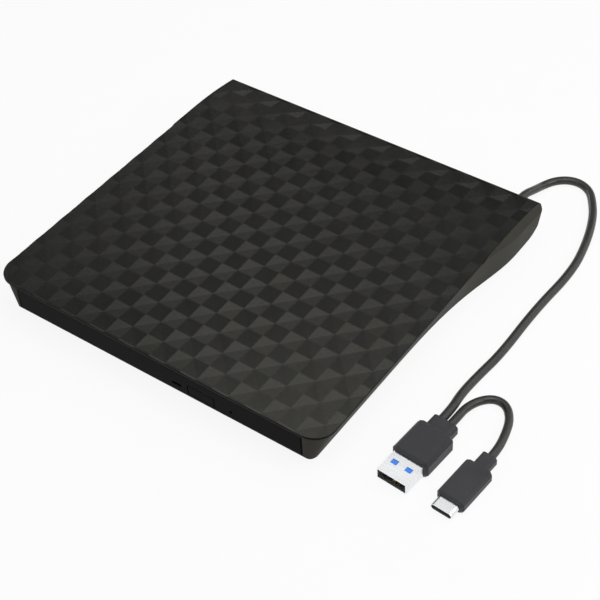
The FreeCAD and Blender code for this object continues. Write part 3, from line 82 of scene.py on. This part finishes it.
# Pyramid pattern on the plate, millimetres
GRID_LEFT = -75.3
GRID_FRONT = -78.9
CELL_COLUMNS = 22
CELL_ROWS = 22
CELL_WIDTH = 6.895
CELL_DEPTH = 7.12
RELIEF = 0.26
# Pitch of the ribs in units of the facet map, which has 1.414 of them to the millimetre
RIB_PITCH = 0.8
# Scale at which the wave texture repeats once per unit
WAVE_TURN = 2.0 * math.pi / 20.0

# Steps in which the plate's corners are drawn
FRONT_CORNER_STEPS = 16
REAR_CORNER_STEPS = 5
# What counts as the plate's upper skin and edge in the CAD cover: depth and width in
# millimetres, and the upright share of the face normal
SKIN_DEPTH = 0.05
EDGE_WIDTH = 0.1
SKIN_NORMAL = 0.8
EDGE_NORMAL = 0.3
# Sides of the outline shorter than this are skipped, millimetres
SHORTEST_SIDE = 1e-6
# Reach within which a cut meets a vertex, metres
CUT_TOLERANCE = 1e-7
# Index of the cover's second material, after the patterned one: a darker finish, painted shade for the
# shadow line under the plate's edge
SHADE_SLOT = 1

# Insulator of the flat plug, millimetres along y: painted shade at the mouth gives way to its blue towards
# the back
INSERT_MOUTH = -61.3
INSERT_BLUE = -58.6

# Surroundings: the floor's half width and how far it lies below the feet, in metres, the share of
# plain white that camera and mirror rays see in it, and the strength of the room's own light
FLOOR_REACH = 4.0
FLOOR_DROP = 0.0001
FLOOR_WHITE = 0.9
ROOM_LIGHT = 0.02
# Heights on the unit sphere between which mirror rays go from white to the dim room
SKY_BAND = (0.1, 0.3)

# Lamps: name, place, aim, width, height (metres) and power (watts)
LAMPS = (
    ("overhead", (-0.15, 0.15, 0.50), (-0.15, 0.15, 0.0), 0.30, 0.30, 0.38),
    ("overhead right", (0.18, -0.05, 0.50), (0.18, -0.05, 0.0), 0.30, 0.30, 1.1),
    ("overhead middle", (-0.25, 0.34, 0.50), (-0.25, 0.34, 0.0), 0.20, 0.20, 0.024),
    ("overhead rear", (-0.15, 0.45, 0.50), (-0.15, 0.45, 0.0), 0.30, 0.30, 0.07),
    ("overhead rear left", (-0.45, 0.35, 0.50), (-0.45, 0.35, 0.0), 0.30, 0.30, 0.04),
    ("overhead left", (-0.75, 0.35, 0.50), (-0.75, 0.35, 0.0), 0.30, 0.30, 0.07),
    ("overhead rear right", (0.25, 0.42, 0.50), (0.25, 0.42, 0.0), 0.40, 0.40, 0.9),
    ("overhead front", (0.15, -0.30, 0.50), (0.15, -0.30, 0.0), 0.90, 0.60, 0.55),
    ("far rear left", (-0.82, 0.72, 0.50), (-0.82, 0.72, 0.0), 0.75, 0.55, 0.16),
    ("rear right", (0.78, 0.95, 0.45), (0.0, 0.0, 0.01), 1.20, 0.28, 2.5),
    ("upper right", (1.00, 0.20, 0.80), (0.0, 0.0, 0.01), 0.50, 0.50, 4.0),
    ("low left", (-1.20, 0.30, 0.30), (0.0, 0.0, 0.0), 0.60, 0.50, 2.8),
    ("front left", (-0.50, -1.20, 0.90), (0.0, 0.0, 0.0), 0.80, 0.80, 2.6),
)


def put_in_scene(piece):
    bpy.context.scene.collection.objects.link(piece)
    return piece


def make_camera():
    data = bpy.data.cameras.new("camera")
    data.sensor_width = 36.0
    data.lens = CAMERA_LENS
    data.shift_x, data.shift_y = CAMERA_SHIFT
    data.clip_start = 0.01
    data.clip_end = 20.0
    camera = put_in_scene(bpy.data.objects.new("camera", data))
    right, up, back = Vector(CAMERA_RIGHT), -Vector(CAMERA_DOWN), -Vector(CAMERA_AHEAD)
    turn = Matrix((right, up, back)).transposed().to_4x4()
    camera.matrix_world = Matrix.Translation(CAMERA_PLACE) @ turn
    bpy.context.scene.camera = camera


# Finishes

def linear(level):
    part = level / 255.0
    if part <= 0.04045:
        return part / 12.92
    return ((part + 0.055) / 1.055) ** 2.4


def shade(red, green, blue):
    return (linear(red), linear(green), linear(blue), 1.0)


def grey(level):
    return shade(level, level, level)


WHITE = (1.0, 1.0, 1.0, 1.0)
WARM = (1.0, 0.98, 0.89, 1.0)
COOL = (0.93, 0.95, 1.0, 1.0)


class Finish:
    """A node material that starts as a Principled shader fed by textures in object coordinates."""

    def __init__(self, name, metallic=0.0, specular=0.5, tint=WHITE):
        self.name = name
        self.material = bpy.data.materials.new(name)
        self.material.use_nodes = True
        self.nodes = self.material.node_tree.nodes
        self.links = self.material.node_tree.links
        self.nodes.clear()
        out = self.nodes.new("ShaderNodeOutputMaterial")
        self.shader = self.nodes.new("ShaderNodeBsdfPrincipled")
        self.links.new(self.shader.outputs["BSDF"], out.inputs["Surface"])
        self.shader.inputs["Metallic"].default_value = metallic
        self.shader.inputs["Specular IOR Level"].default_value = specular
        self.shader.inputs["Specular Tint"].default_value = tint
        self.place = self.nodes.new("ShaderNodeTexCoord").outputs["Object"]
        self.normal = None

    def stretched(self, scale):
        mapping = self.nodes.new("ShaderNodeMapping")
        mapping.inputs["Scale"].default_value = scale
        self.links.new(self.place, mapping.inputs["Vector"])
        return mapping.outputs["Vector"]

    def noise(self, scale, detail=3.0, place=None, rough=0.55):
        node = self.nodes.new("ShaderNodeTexNoise")
        node.inputs["Scale"].default_value = scale
        node.inputs["Detail"].default_value = detail
        node.inputs["Roughness"].default_value = rough
        self.links.new(place or self.place, node.inputs["Vector"])
        return node.outputs["Fac"]

    def cells(self, scale, output="Distance"):
        node = self.nodes.new("ShaderNodeTexVoronoi")
        node.inputs["Scale"].default_value = scale
        self.links.new(self.place, node.inputs["Vector"])
        return node.outputs[output]

    def ramp(self, value, stops):
        node = self.nodes.new("ShaderNodeValToRGB")
        elements = node.color_ramp.elements
        while len(elements) < len(stops):
            elements.new(0.5)
        for element, (position, colour) in zip(elements, stops):
            element.position = position
            element.color = colour
        self.links.new(value, node.inputs["Fac"])
        return node.outputs["Color"]

    def colour(self, value):
        self.links.new(value, self.shader.inputs["Base Color"])

    def gloss(self, value, low, high):
        """Roughness between two levels, led by the middle half of a texture's range."""
        node = self.nodes.new("ShaderNodeMapRange")
        node.inputs["From Min"].default_value = 0.25
        node.inputs["From Max"].default_value = 0.75
        node.inputs["To Min"].default_value = low
        node.inputs["To Max"].default_value = high
        self.links.new(value, node.inputs["Value"])
        self.links.new(node.outputs["Result"], self.shader.inputs["Roughness"])

    def relief(self, value, depth):
        """Adds a bump of a depth in metres on top of the ones before it."""
        node = self.nodes.new("ShaderNodeBump")
        node.inputs["Distance"].default_value = depth
        self.links.new(value, node.inputs["Height"])
        if self.normal:
            self.links.new(self.normal, node.inputs["Normal"])
        self.normal = node.outputs["Normal"]
        self.links.new(self.normal, self.shader.inputs["Normal"])


def moulded(name, dark, light, rough=(0.38, 0.5), grain=2600.0, depth=0.00002, specular=0.5, tint=WHITE):
    """Moulded plastic or rubber: cloudy tint, fine grain in the surface, uneven gloss."""
    finish = Finish(name, specular=specular, tint=tint)
    cloud = finish.noise(70.0, 4.0)
    fine = finish.noise(grain, 2.0)
    finish.colour(finish.ramp(cloud, ((0.3, dark), (0.7, light))))
    finish.gloss(cloud, rough[0], rough[1])
    finish.relief(fine, depth)
    return finish


def rolled_metal(name, dark, light, rough=(0.25, 0.4), stretch=(1.0, 40.0, 40.0), grain=60.0, depth=0.00001):
    """Rolled, drawn or turned metal: streaks along one direction in tint, gloss and relief."""
    finish = Finish(name, metallic=1.0)
    lines = finish.stretched(stretch)
    streak = finish.noise(grain, 5.0, lines, 0.65)
    cloud = finish.noise(45.0, 3.0)
    finish.colour(finish.ramp(streak, ((0.3, dark), (0.7, light))))
    finish.gloss(cloud, rough[0], rough[1])
    finish.relief(streak, depth)
    return finish


def cast_metal(name, dark, light):
    """Die-cast or zinc-coated metal with faint crystals in its skin."""
    finish = Finish(name, metallic=1.0)
    crystals = finish.cells(420.0, output="Color")
    finish.colour(finish.ramp(crystals, ((0.2, dark), (0.8, light))))
    finish.gloss(finish.noise(300.0), 0.3, 0.5)
    finish.relief(finish.noise(2200.0, 3.0), 0.00002)
    return finish


def board_finish():
    """Solder mask over copper: fine tracks just under a glossy skin."""
    finish = Finish("board_green", specular=0.6)
    tracks = finish.nodes.new("ShaderNodeTexBrick")
    tracks.inputs["Color1"].default_value = shade(18, 74, 44)
    tracks.inputs["Color2"].default_value = shade(24, 88, 52)
    tracks.inputs["Mortar"].default_value = shade(40, 118, 74)
    tracks.inputs["Scale"].default_value = 220.0
    tracks.inputs["Mortar Size"].default_value = 0.06
    finish.links.new(finish.place, tracks.inputs["Vector"])
    finish.colour(tracks.outputs["Color"])
    finish.gloss(finish.noise(120.0), 0.25, 0.38)
    finish.relief(tracks.outputs["Fac"], 0.00002)
    return finish


def lens_finish():
    """Coated glass, a little blue."""
    finish = Finish("lens_glass")
    coating = ((0.3, shade(168, 180, 220)), (0.7, shade(190, 200, 232)))
    finish.colour(finish.ramp(finish.noise(300.0), coating))
    finish.gloss(finish.noise(500.0), 0.03, 0.11)
    finish.relief(finish.noise(900.0), 0.000005)
    finish.shader.inputs["Transmission Weight"].default_value = 0.85
    finish.shader.inputs["IOR"].default_value = 1.6
    return finish


def cover_finish():
    """Black plate plastic with fine ribs across each facet. The ribs run along v of the facet map."""
    finish = Finish("cover_black", specular=0.5, tint=WARM)
    cloud = finish.noise(60.0, 4.0)
    finish.colour(finish.ramp(cloud, ((0.3, shade(26, 26, 24)), (0.7, shade(30, 30, 28)))))
    finish.gloss(cloud, 0.22, 0.25)
    facet_map = finish.nodes.new("ShaderNodeUVMap")
    facet_map.uv_map = "facets"
    ribs = finish.nodes.new("ShaderNodeTexWave")
    ribs.bands_direction = "X"
    ribs.inputs["Scale"].default_value = WAVE_TURN / RIB_PITCH
    ribs.inputs["Distortion"].default_value = 0.4
    ribs.inputs["Detail Scale"].default_value = 0.5
    finish.links.new(facet_map.outputs["UV"], ribs.inputs["Vector"])
    finish.relief(finish.noise(3000.0, 2.0), 0.00001)
    finish.relief(ribs.outputs["Fac"], 0.000012)
    across = finish.nodes.new("ShaderNodeTangent")
    across.direction_type = "UV_MAP"
    across.uv_map = "facets"
    finish.links.new(across.outputs["Tangent"], finish.shader.inputs["Tangent"])
    finish.shader.inputs["Anisotropic"].default_value = 0.95
    finish.shader.inputs["IOR"].default_value = 1.5
    return finish


def insert_finish():
    """The insulator of the flat plug: blue at the back, and near-black painted shade at the mouth, where the
    recess lies in shadow.
    """
    finish = Finish("insert_blue", specular=0.3)
    place = finish.nodes.new("ShaderNodeSeparateXYZ")
    finish.links.new(finish.place, place.inputs["Vector"])
    depth = finish.nodes.new("ShaderNodeMapRange")
    depth.inputs["From Min"].default_value = INSERT_MOUTH * MM
    depth.inputs["From Max"].default_value = INSERT_BLUE * MM
    finish.links.new(place.outputs["Y"], depth.inputs["Value"])
    # The first colour is painted shade: near-black over the insulator inside the mouth, standing in for its
    # shadow
    painted_shade, dark, light = shade(8, 8, 9), shade(56, 124, 222), shade(70, 138, 236)
    stops = ((0.0, painted_shade), (0.9, painted_shade), (0.95, dark), (1.0, light))
    finish.colour(finish.ramp(depth.outputs["Result"], stops))
    finish.gloss(finish.noise(70.0, 4.0), 0.35, 0.45)
    finish.relief(finish.noise(2600.0, 2.0), 0.00002)
    return finish


def foam_finish():
    """Soft grey foam with open cells."""
    finish = moulded("foam", grey(30), grey(44), rough=(0.9, 1.0), specular=0.2)
    finish.relief(finish.cells(1600.0), 0.0003)
    return finish


def make_finishes():
    finishes = [
        moulded("case_black", shade(56, 55, 49), shade(63, 62, 55), rough=(0.54, 0.64), specular=0.08,
                tint=WARM),
        cover_finish(),
        moulded("foot_rubber", grey(26), grey(34), rough=(0.7, 0.85), depth=0.00005),
        cast_metal("steel_screw", grey(150), grey(185)),
        foam_finish(),
        cast_metal("drive_steel", shade(178, 181, 184), shade(208, 210, 212)),
        moulded("guide_plastic", shade(206, 205, 198), shade(222, 221, 214), rough=(0.4, 0.55)),
        rolled_metal("rail_steel", grey(170), grey(200), stretch=(60.0, 1.0, 60.0)),
        moulded("tray_black", grey(30), grey(37), rough=(0.5, 0.62), grain=1800.0, depth=0.00004),
        moulded("bezel_black", shade(16, 16, 16), shade(21, 21, 21), rough=(0.36, 0.46), specular=0.02),
        moulded("clear_plastic", grey(4), grey(7), rough=(0.3, 0.38), depth=0.000005, specular=0.0),
        board_finish(),
        moulded("chip_black", grey(36), grey(44), rough=(0.55, 0.7)),
        moulded("connector_black", grey(34), grey(42), rough=(0.45, 0.6)),
        moulded("connector_white", shade(228, 226, 216), shade(240, 238, 230), rough=(0.4, 0.55)),
        moulded("flex_amber", shade(150, 92, 30), shade(176, 112, 42), rough=(0.2, 0.3)),
        rolled_metal("sheet_steel", grey(180), grey(206), stretch=(1.0, 50.0, 50.0)),
        moulded("damper_rubber", grey(44), grey(56), rough=(0.75, 0.9), depth=0.00004),
        cast_metal("motor_steel", grey(160), grey(190)),
        rolled_metal("hub_metal", grey(186), grey(214), stretch=(30.0, 30.0, 1.0)),
        moulded("mat_rubber", grey(30), grey(38), rough=(0.8, 0.92), depth=0.00004),
        rolled_metal("rod_chrome", grey(216), grey(234), rough=(0.08, 0.16), stretch=(1.0, 1.0, 1.0)),
        cast_metal("sled_cast", grey(140), grey(172)),
        moulded("holder_black", grey(30), grey(40), rough=(0.5, 0.6)),
        lens_finish(),
        rolled_metal("screw_brass", shade(196, 166, 98), shade(222, 192, 122), rough=(0.2, 0.32)),
        rolled_metal("spring_steel", grey(180), grey(206)),
        moulded("latch_plastic", shade(214, 213, 205), shade(228, 227, 220), rough=(0.4, 0.55)),
        moulded("cord_black", shade(46, 46, 44), shade(54, 54, 52), rough=(0.3, 0.36), grain=1500.0,
                specular=0.45),
        moulded("relief_black", shade(40, 40, 40), shade(50, 50, 50), rough=(0.4, 0.5)),
        moulded("grip_black", shade(58, 58, 61), shade(66, 66, 69), rough=(0.36, 0.46), specular=0.18,
                tint=COOL),
        rolled_metal("plug_metal", shade(226, 227, 230), shade(244, 245, 247), rough=(0.22, 0.32),
                     stretch=(1.0, 30.0, 1.0), depth=0.000004),
        insert_finish(),
        rolled_metal("contact_gold", shade(222, 178, 92), shade(240, 200, 118), rough=(0.15, 0.25)),
    ]
    return {finish.name: finish.material for finish in finishes}


# Cords

def cord_piece(name, route, diameter, material):
    curve = bpy.data.curves.new(name, "CURVE")
    curve.dimensions = "3D"
    line = curve.splines.new("NURBS")
    line.points.add(len(route) - 1)
    for point, (x, y, z) in zip(line.points, route):
        point.co = (x * MM, y * MM, z * MM, 1.0)
    line.order_u = 3
    line.use_endpoint_u = True
    line.resolution_u = 16
    curve.bevel_depth = diameter * MM / 2
    curve.bevel_resolution = 8
    curve.materials.append(material)
    return put_in_scene(bpy.data.objects.new(name, curve))


def make_cords(finishes):
    lead = cord_piece("main_lead", LEAD_ROUTE, LEAD_DIAMETER, finishes["cord_black"])
    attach(lead, "case")
    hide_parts("usb_lead")
    pigtail = cord_piece("pigtail_lead", PIGTAIL_ROUTE, PIGTAIL_DIAMETER, finishes["cord_black"])
    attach(pigtail, "case")
    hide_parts("usb_pigtail")


# Patterned top plate

def plate_level(y):
    """Height of the plate's top at y: flat, then an arc that falls to the rear."""
    if y <= DROP_START:
        return PLATE_TOP
    return PLATE_TOP - (DROP_RADIUS - math.sqrt(DROP_RADIUS ** 2 - (y - DROP_START) ** 2))


def plate_outline():
    """Points round the plate, seen from above, with x and y in millimetres."""
    front_x, rear_x = PLATE_HALF - FRONT_CORNER, PLATE_HALF - REAR_CORNER
    front_y, rear_y = PLATE_FRONT + FRONT_CORNER, PLATE_REAR - REAR_CORNER
    corners = (
        (-front_x, front_y, FRONT_CORNER, 180.0, FRONT_CORNER_STEPS),
        (front_x, front_y, FRONT_CORNER, 270.0, FRONT_CORNER_STEPS),
        (rear_x, rear_y, REAR_CORNER, 0.0, REAR_CORNER_STEPS),
        (-rear_x, rear_y, REAR_CORNER, 90.0, REAR_CORNER_STEPS),
    )
    points = []
    for x, y, radius, start, steps in corners:
        for step in range(steps + 1):
            angle = math.radians(start + 90.0 * step / steps)
            points.append((x + radius * math.cos(angle), y + radius * math.sin(angle)))
    return points


def facet_grid():
    """The egg-crate of low pyramids: a peak on every other grid corner, a valley between."""
    grid = bmesh.new()
    corner = {}
    for column in range(CELL_COLUMNS + 1):
        for row in range(CELL_ROWS + 1):
            x = GRID_LEFT + column * CELL_WIDTH
            y = GRID_FRONT + row * CELL_DEPTH
            sunk = RELIEF if (column + row) % 2 else 0.0
            corner[column, row] = grid.verts.new((x * MM, y * MM, (plate_level(y) - sunk) * MM))
    facets = grid.loops.layers.uv.new("facets")
    for column in range(CELL_COLUMNS):
        for row in range(CELL_ROWS):
            a, b = corner[column, row], corner[column + 1, row]
            c, d = corner[column + 1, row + 1], corner[column, row + 1]
            rising = (column + row) % 2
            halves = ((a, b, c), (a, c, d)) if rising else ((a, b, d), (b, c, d))
            turn = 1.0 if rising else -1.0
            for half in halves:
                face = grid.faces.new(half)
                for loop in face.loops:
                    x, y = loop.vert.co.x / MM, loop.vert.co.y / MM
                    loop[facets].uv = (y - turn * x, x + turn * y)
    return grid


def trim(grid, outline):
    """Cuts the grid along every edge of a convex outline and drops what is outside."""
    for (x0, y0), (x1, y1) in zip(outline, outline[1:] + outline[:1]):
        along = Vector((x1 - x0, y1 - y0, 0.0))
        if along.length < SHORTEST_SIDE:
            continue
        outward = Vector((along.y, -along.x, 0.0)).normalized()
        parts = grid.verts[:] + grid.edges[:] + grid.faces[:]
        bmesh.ops.bisect_plane(grid, geom=parts, dist=CUT_TOLERANCE, plane_co=(x0 * MM, y0 * MM, 0.0),
                               plane_no=outward, clear_outer=True)


def outline_distance(x, y):
    """How far a point lies outside the plate's outline, negative inside, millimetres."""
    radius = FRONT_CORNER if y < 0 else REAR_CORNER
    middle = (PLATE_FRONT + PLATE_REAR) / 2
    over_x = abs(x) - (PLATE_HALF - radius)
    over_y = abs(y - middle) - ((PLATE_REAR - PLATE_FRONT) / 2 - radius)
    if over_x > 0 and over_y > 0:
        return math.hypot(over_x, over_y) - radius
    return max(over_x, over_y) - radius


def under_plate():
    """The cover's lip, posts and tabs: its CAD mesh without the plate's upper skin and edge."""
    rest = bmesh.new()
    rest.from_mesh(NODES["top_cover"].data)
    skin = []
    for face in rest.faces:
        middle = face.calc_center_median() / MM
        on_top = middle.z > plate_level(middle.y) - SKIN_DEPTH and face.normal.z > SKIN_NORMAL
        upright = abs(face.normal.z) < EDGE_NORMAL
        on_edge = upright and outline_distance(middle.x, middle.y) > -EDGE_WIDTH
        if on_top or on_edge:
            skin.append(face)
    bmesh.ops.delete(rest, geom=skin, context="FACES")
    return rest


def add_plate_edge(grid):
    """Draws the trimmed border straight down by the height of the plate's edge, in the darker second
    material: painted shade for the shadow line under the edge.
    """
    facets = grid.loops.layers.uv["facets"]
    border = [edge for edge in grid.edges if edge.is_boundary]
    for part in bmesh.ops.extrude_edge_only(grid, edges=border)["geom"]:
        if isinstance(part, bmesh.types.BMVert):
            part.co.z = (plate_level(part.co.y / MM) - PLATE_EDGE) * MM
        elif isinstance(part, bmesh.types.BMFace):
            part.material_index = SHADE_SLOT
            for loop in part.loops:
                loop[facets].uv = (loop.vert.co.z / MM, (loop.vert.co.x + loop.vert.co.y) / MM)


def add_under_plate(grid):
    """Joins the cover's lip, posts and tabs to the patterned skin."""
    rest = under_plate()
    # The parts beneath the plate take the darker second material too, as painted shade
    for face in rest.faces:
        face.material_index = SHADE_SLOT
    mesh = bpy.data.meshes.new("top_cover_rest")
    rest.to_mesh(mesh)
    rest.free()
    grid.from_mesh(mesh)
    bpy.data.meshes.remove(mesh)
    plain = [face for face in grid.faces if face.material_index == SHADE_SLOT]
    bmesh.ops.recalc_face_normals(grid, faces=plain)


def make_cover(finishes):
    grid = facet_grid()
    trim(grid, plate_outline())
    add_plate_edge(grid)
    add_under_plate(grid)
    mesh = bpy.data.meshes.new("patterned_cover")
    grid.to_mesh(mesh)
    grid.free()
    mesh.materials.append(finishes["cover_black"])
    # The second material is the darker bezel finish: painted shade for the shadow line under the plate's
    # edge and on the parts beneath it
    mesh.materials.append(finishes["bezel_black"])
    cover = put_in_scene(bpy.data.objects.new("patterned_cover", mesh))
    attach(cover, "case")
    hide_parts("top_cover")


def dress_nodes(finishes):
    """Gives each CAD node the finish of its material slot."""
    for name, node in NODES.items():
        node.data.materials.clear()
        node.data.materials.append(finishes[SLOT_OF[name]])


# Floor, surroundings and lamps

def area_light(name, place, aim, width, height, power):
    """A rectangular lamp that points at its aim."""
    data = bpy.data.lights.new(name, "AREA")
    data.shape = "RECTANGLE"
    data.size = width
    data.size_y = height
    data.energy = power
    light = put_in_scene(bpy.data.objects.new(name, data))
    light.location = place
    light.rotation_euler = (Vector(aim) - Vector(place)).to_track_quat("-Z", "Y").to_euler()


def worked_out(nodes, links, operation, first, second):
    """One math node; an operand is a socket or a number."""
    node = nodes.new("ShaderNodeMath")
    node.operation = operation
    for socket, value in zip(node.inputs, (first, second)):
        if isinstance(value, float):
            socket.default_value = value
        else:
            links.new(value, socket)
    return node.outputs["Value"]


def blended_with_white(nodes, links, lit, share, kind):
    """Blends a lit shader with plain white light of strength 1."""
    white = nodes.new(kind)
    white.inputs["Color"].default_value = (1.0, 1.0, 1.0, 1.0)
    white.inputs["Strength"].default_value = 1.0
    mix = nodes.new("ShaderNodeMixShader")
    links.new(share, mix.inputs["Fac"])
    links.new(lit, mix.inputs[1])
    links.new(white.outputs[0], mix.inputs[2])
    return mix.outputs["Shader"]


def low_sky(nodes, links):
    """1 towards the horizon and below it, 0 high up, in the world's shader."""
    direction = nodes.new("ShaderNodeTexCoord").outputs["Generated"]
    parts = nodes.new("ShaderNodeSeparateXYZ")
    links.new(direction, parts.inputs["Vector"])
    band = nodes.new("ShaderNodeMapRange")
    band.interpolation_type = "SMOOTHSTEP"
    band.inputs["From Min"].default_value = SKY_BAND[0]
    band.inputs["From Max"].default_value = SKY_BAND[1]
    band.inputs["To Min"].default_value = 1.0
    band.inputs["To Max"].default_value = 0.0
    links.new(parts.outputs["Z"], band.inputs["Value"])
    return band.outputs["Result"]


def make_floor():
    """White paper that keeps the object's shadow and looks nearly white to camera and mirror rays."""
    paper = moulded("floor_paper", grey(236), grey(240), rough=(0.85, 0.95), grain=900.0)
    nodes, links = paper.nodes, paper.links
    out = next(node for node in nodes if node.bl_idname == "ShaderNodeOutputMaterial")
    paths = nodes.new("ShaderNodeLightPath").outputs
    seen = worked_out(nodes, links, "MAXIMUM", paths["Is Camera Ray"], paths["Is Glossy Ray"])
    seen = worked_out(nodes, links, "MAXIMUM", seen, paths["Is Transmission Ray"])
    share = worked_out(nodes, links, "MULTIPLY", seen, FLOOR_WHITE)
    lit = paper.shader.outputs["BSDF"]
    links.new(blended_with_white(nodes, links, lit, share, "ShaderNodeEmission"), out.inputs["Surface"])
    mesh = bpy.data.meshes.new("floor")
    corners = [(x * FLOOR_REACH, y * FLOOR_REACH, 0.0) for x, y in ((-1, -1), (1, -1), (1, 1), (-1, 1))]
    mesh.from_pydata(corners, [], [(0, 1, 2, 3)])
    mesh.materials.append(paper.material)
    floor = put_in_scene(bpy.data.objects.new("floor", mesh))
    floor.location.z = -FLOOR_DROP


def make_world():
    """White behind everything; mirror rays see that white low down, and a dim room higher up."""
    world = bpy.data.worlds.new("room")
    bpy.context.scene.world = world
    world.use_nodes = True
    nodes, links = world.node_tree.nodes, world.node_tree.links
    dim = nodes["Background"]
    dim.inputs["Color"].default_value = (1.0, 1.0, 1.0, 1.0)
    dim.inputs["Strength"].default_value = ROOM_LIGHT
    paths = nodes.new("ShaderNodeLightPath").outputs
    straight = worked_out(nodes, links, "MAXIMUM", paths["Is Camera Ray"], paths["Is Transmission Ray"])
    mirrored = worked_out(nodes, links, "MULTIPLY", paths["Is Glossy Ray"], low_sky(nodes, links))
    share = worked_out(nodes, links, "MAXIMUM", straight, mirrored)
    white = blended_with_white(nodes, links, dim.outputs["Background"], share, "ShaderNodeBackground")
    links.new(white, nodes["World Output"].inputs["Surface"])


make_camera()
FINISHES = make_finishes()
make_cords(FINISHES)
dress_nodes(FINISHES)
make_cover(FINISHES)
make_floor()
make_world()
for lamp in LAMPS:
    area_light(*lamp)
bpy.context.scene.view_settings.view_transform = "Standard"
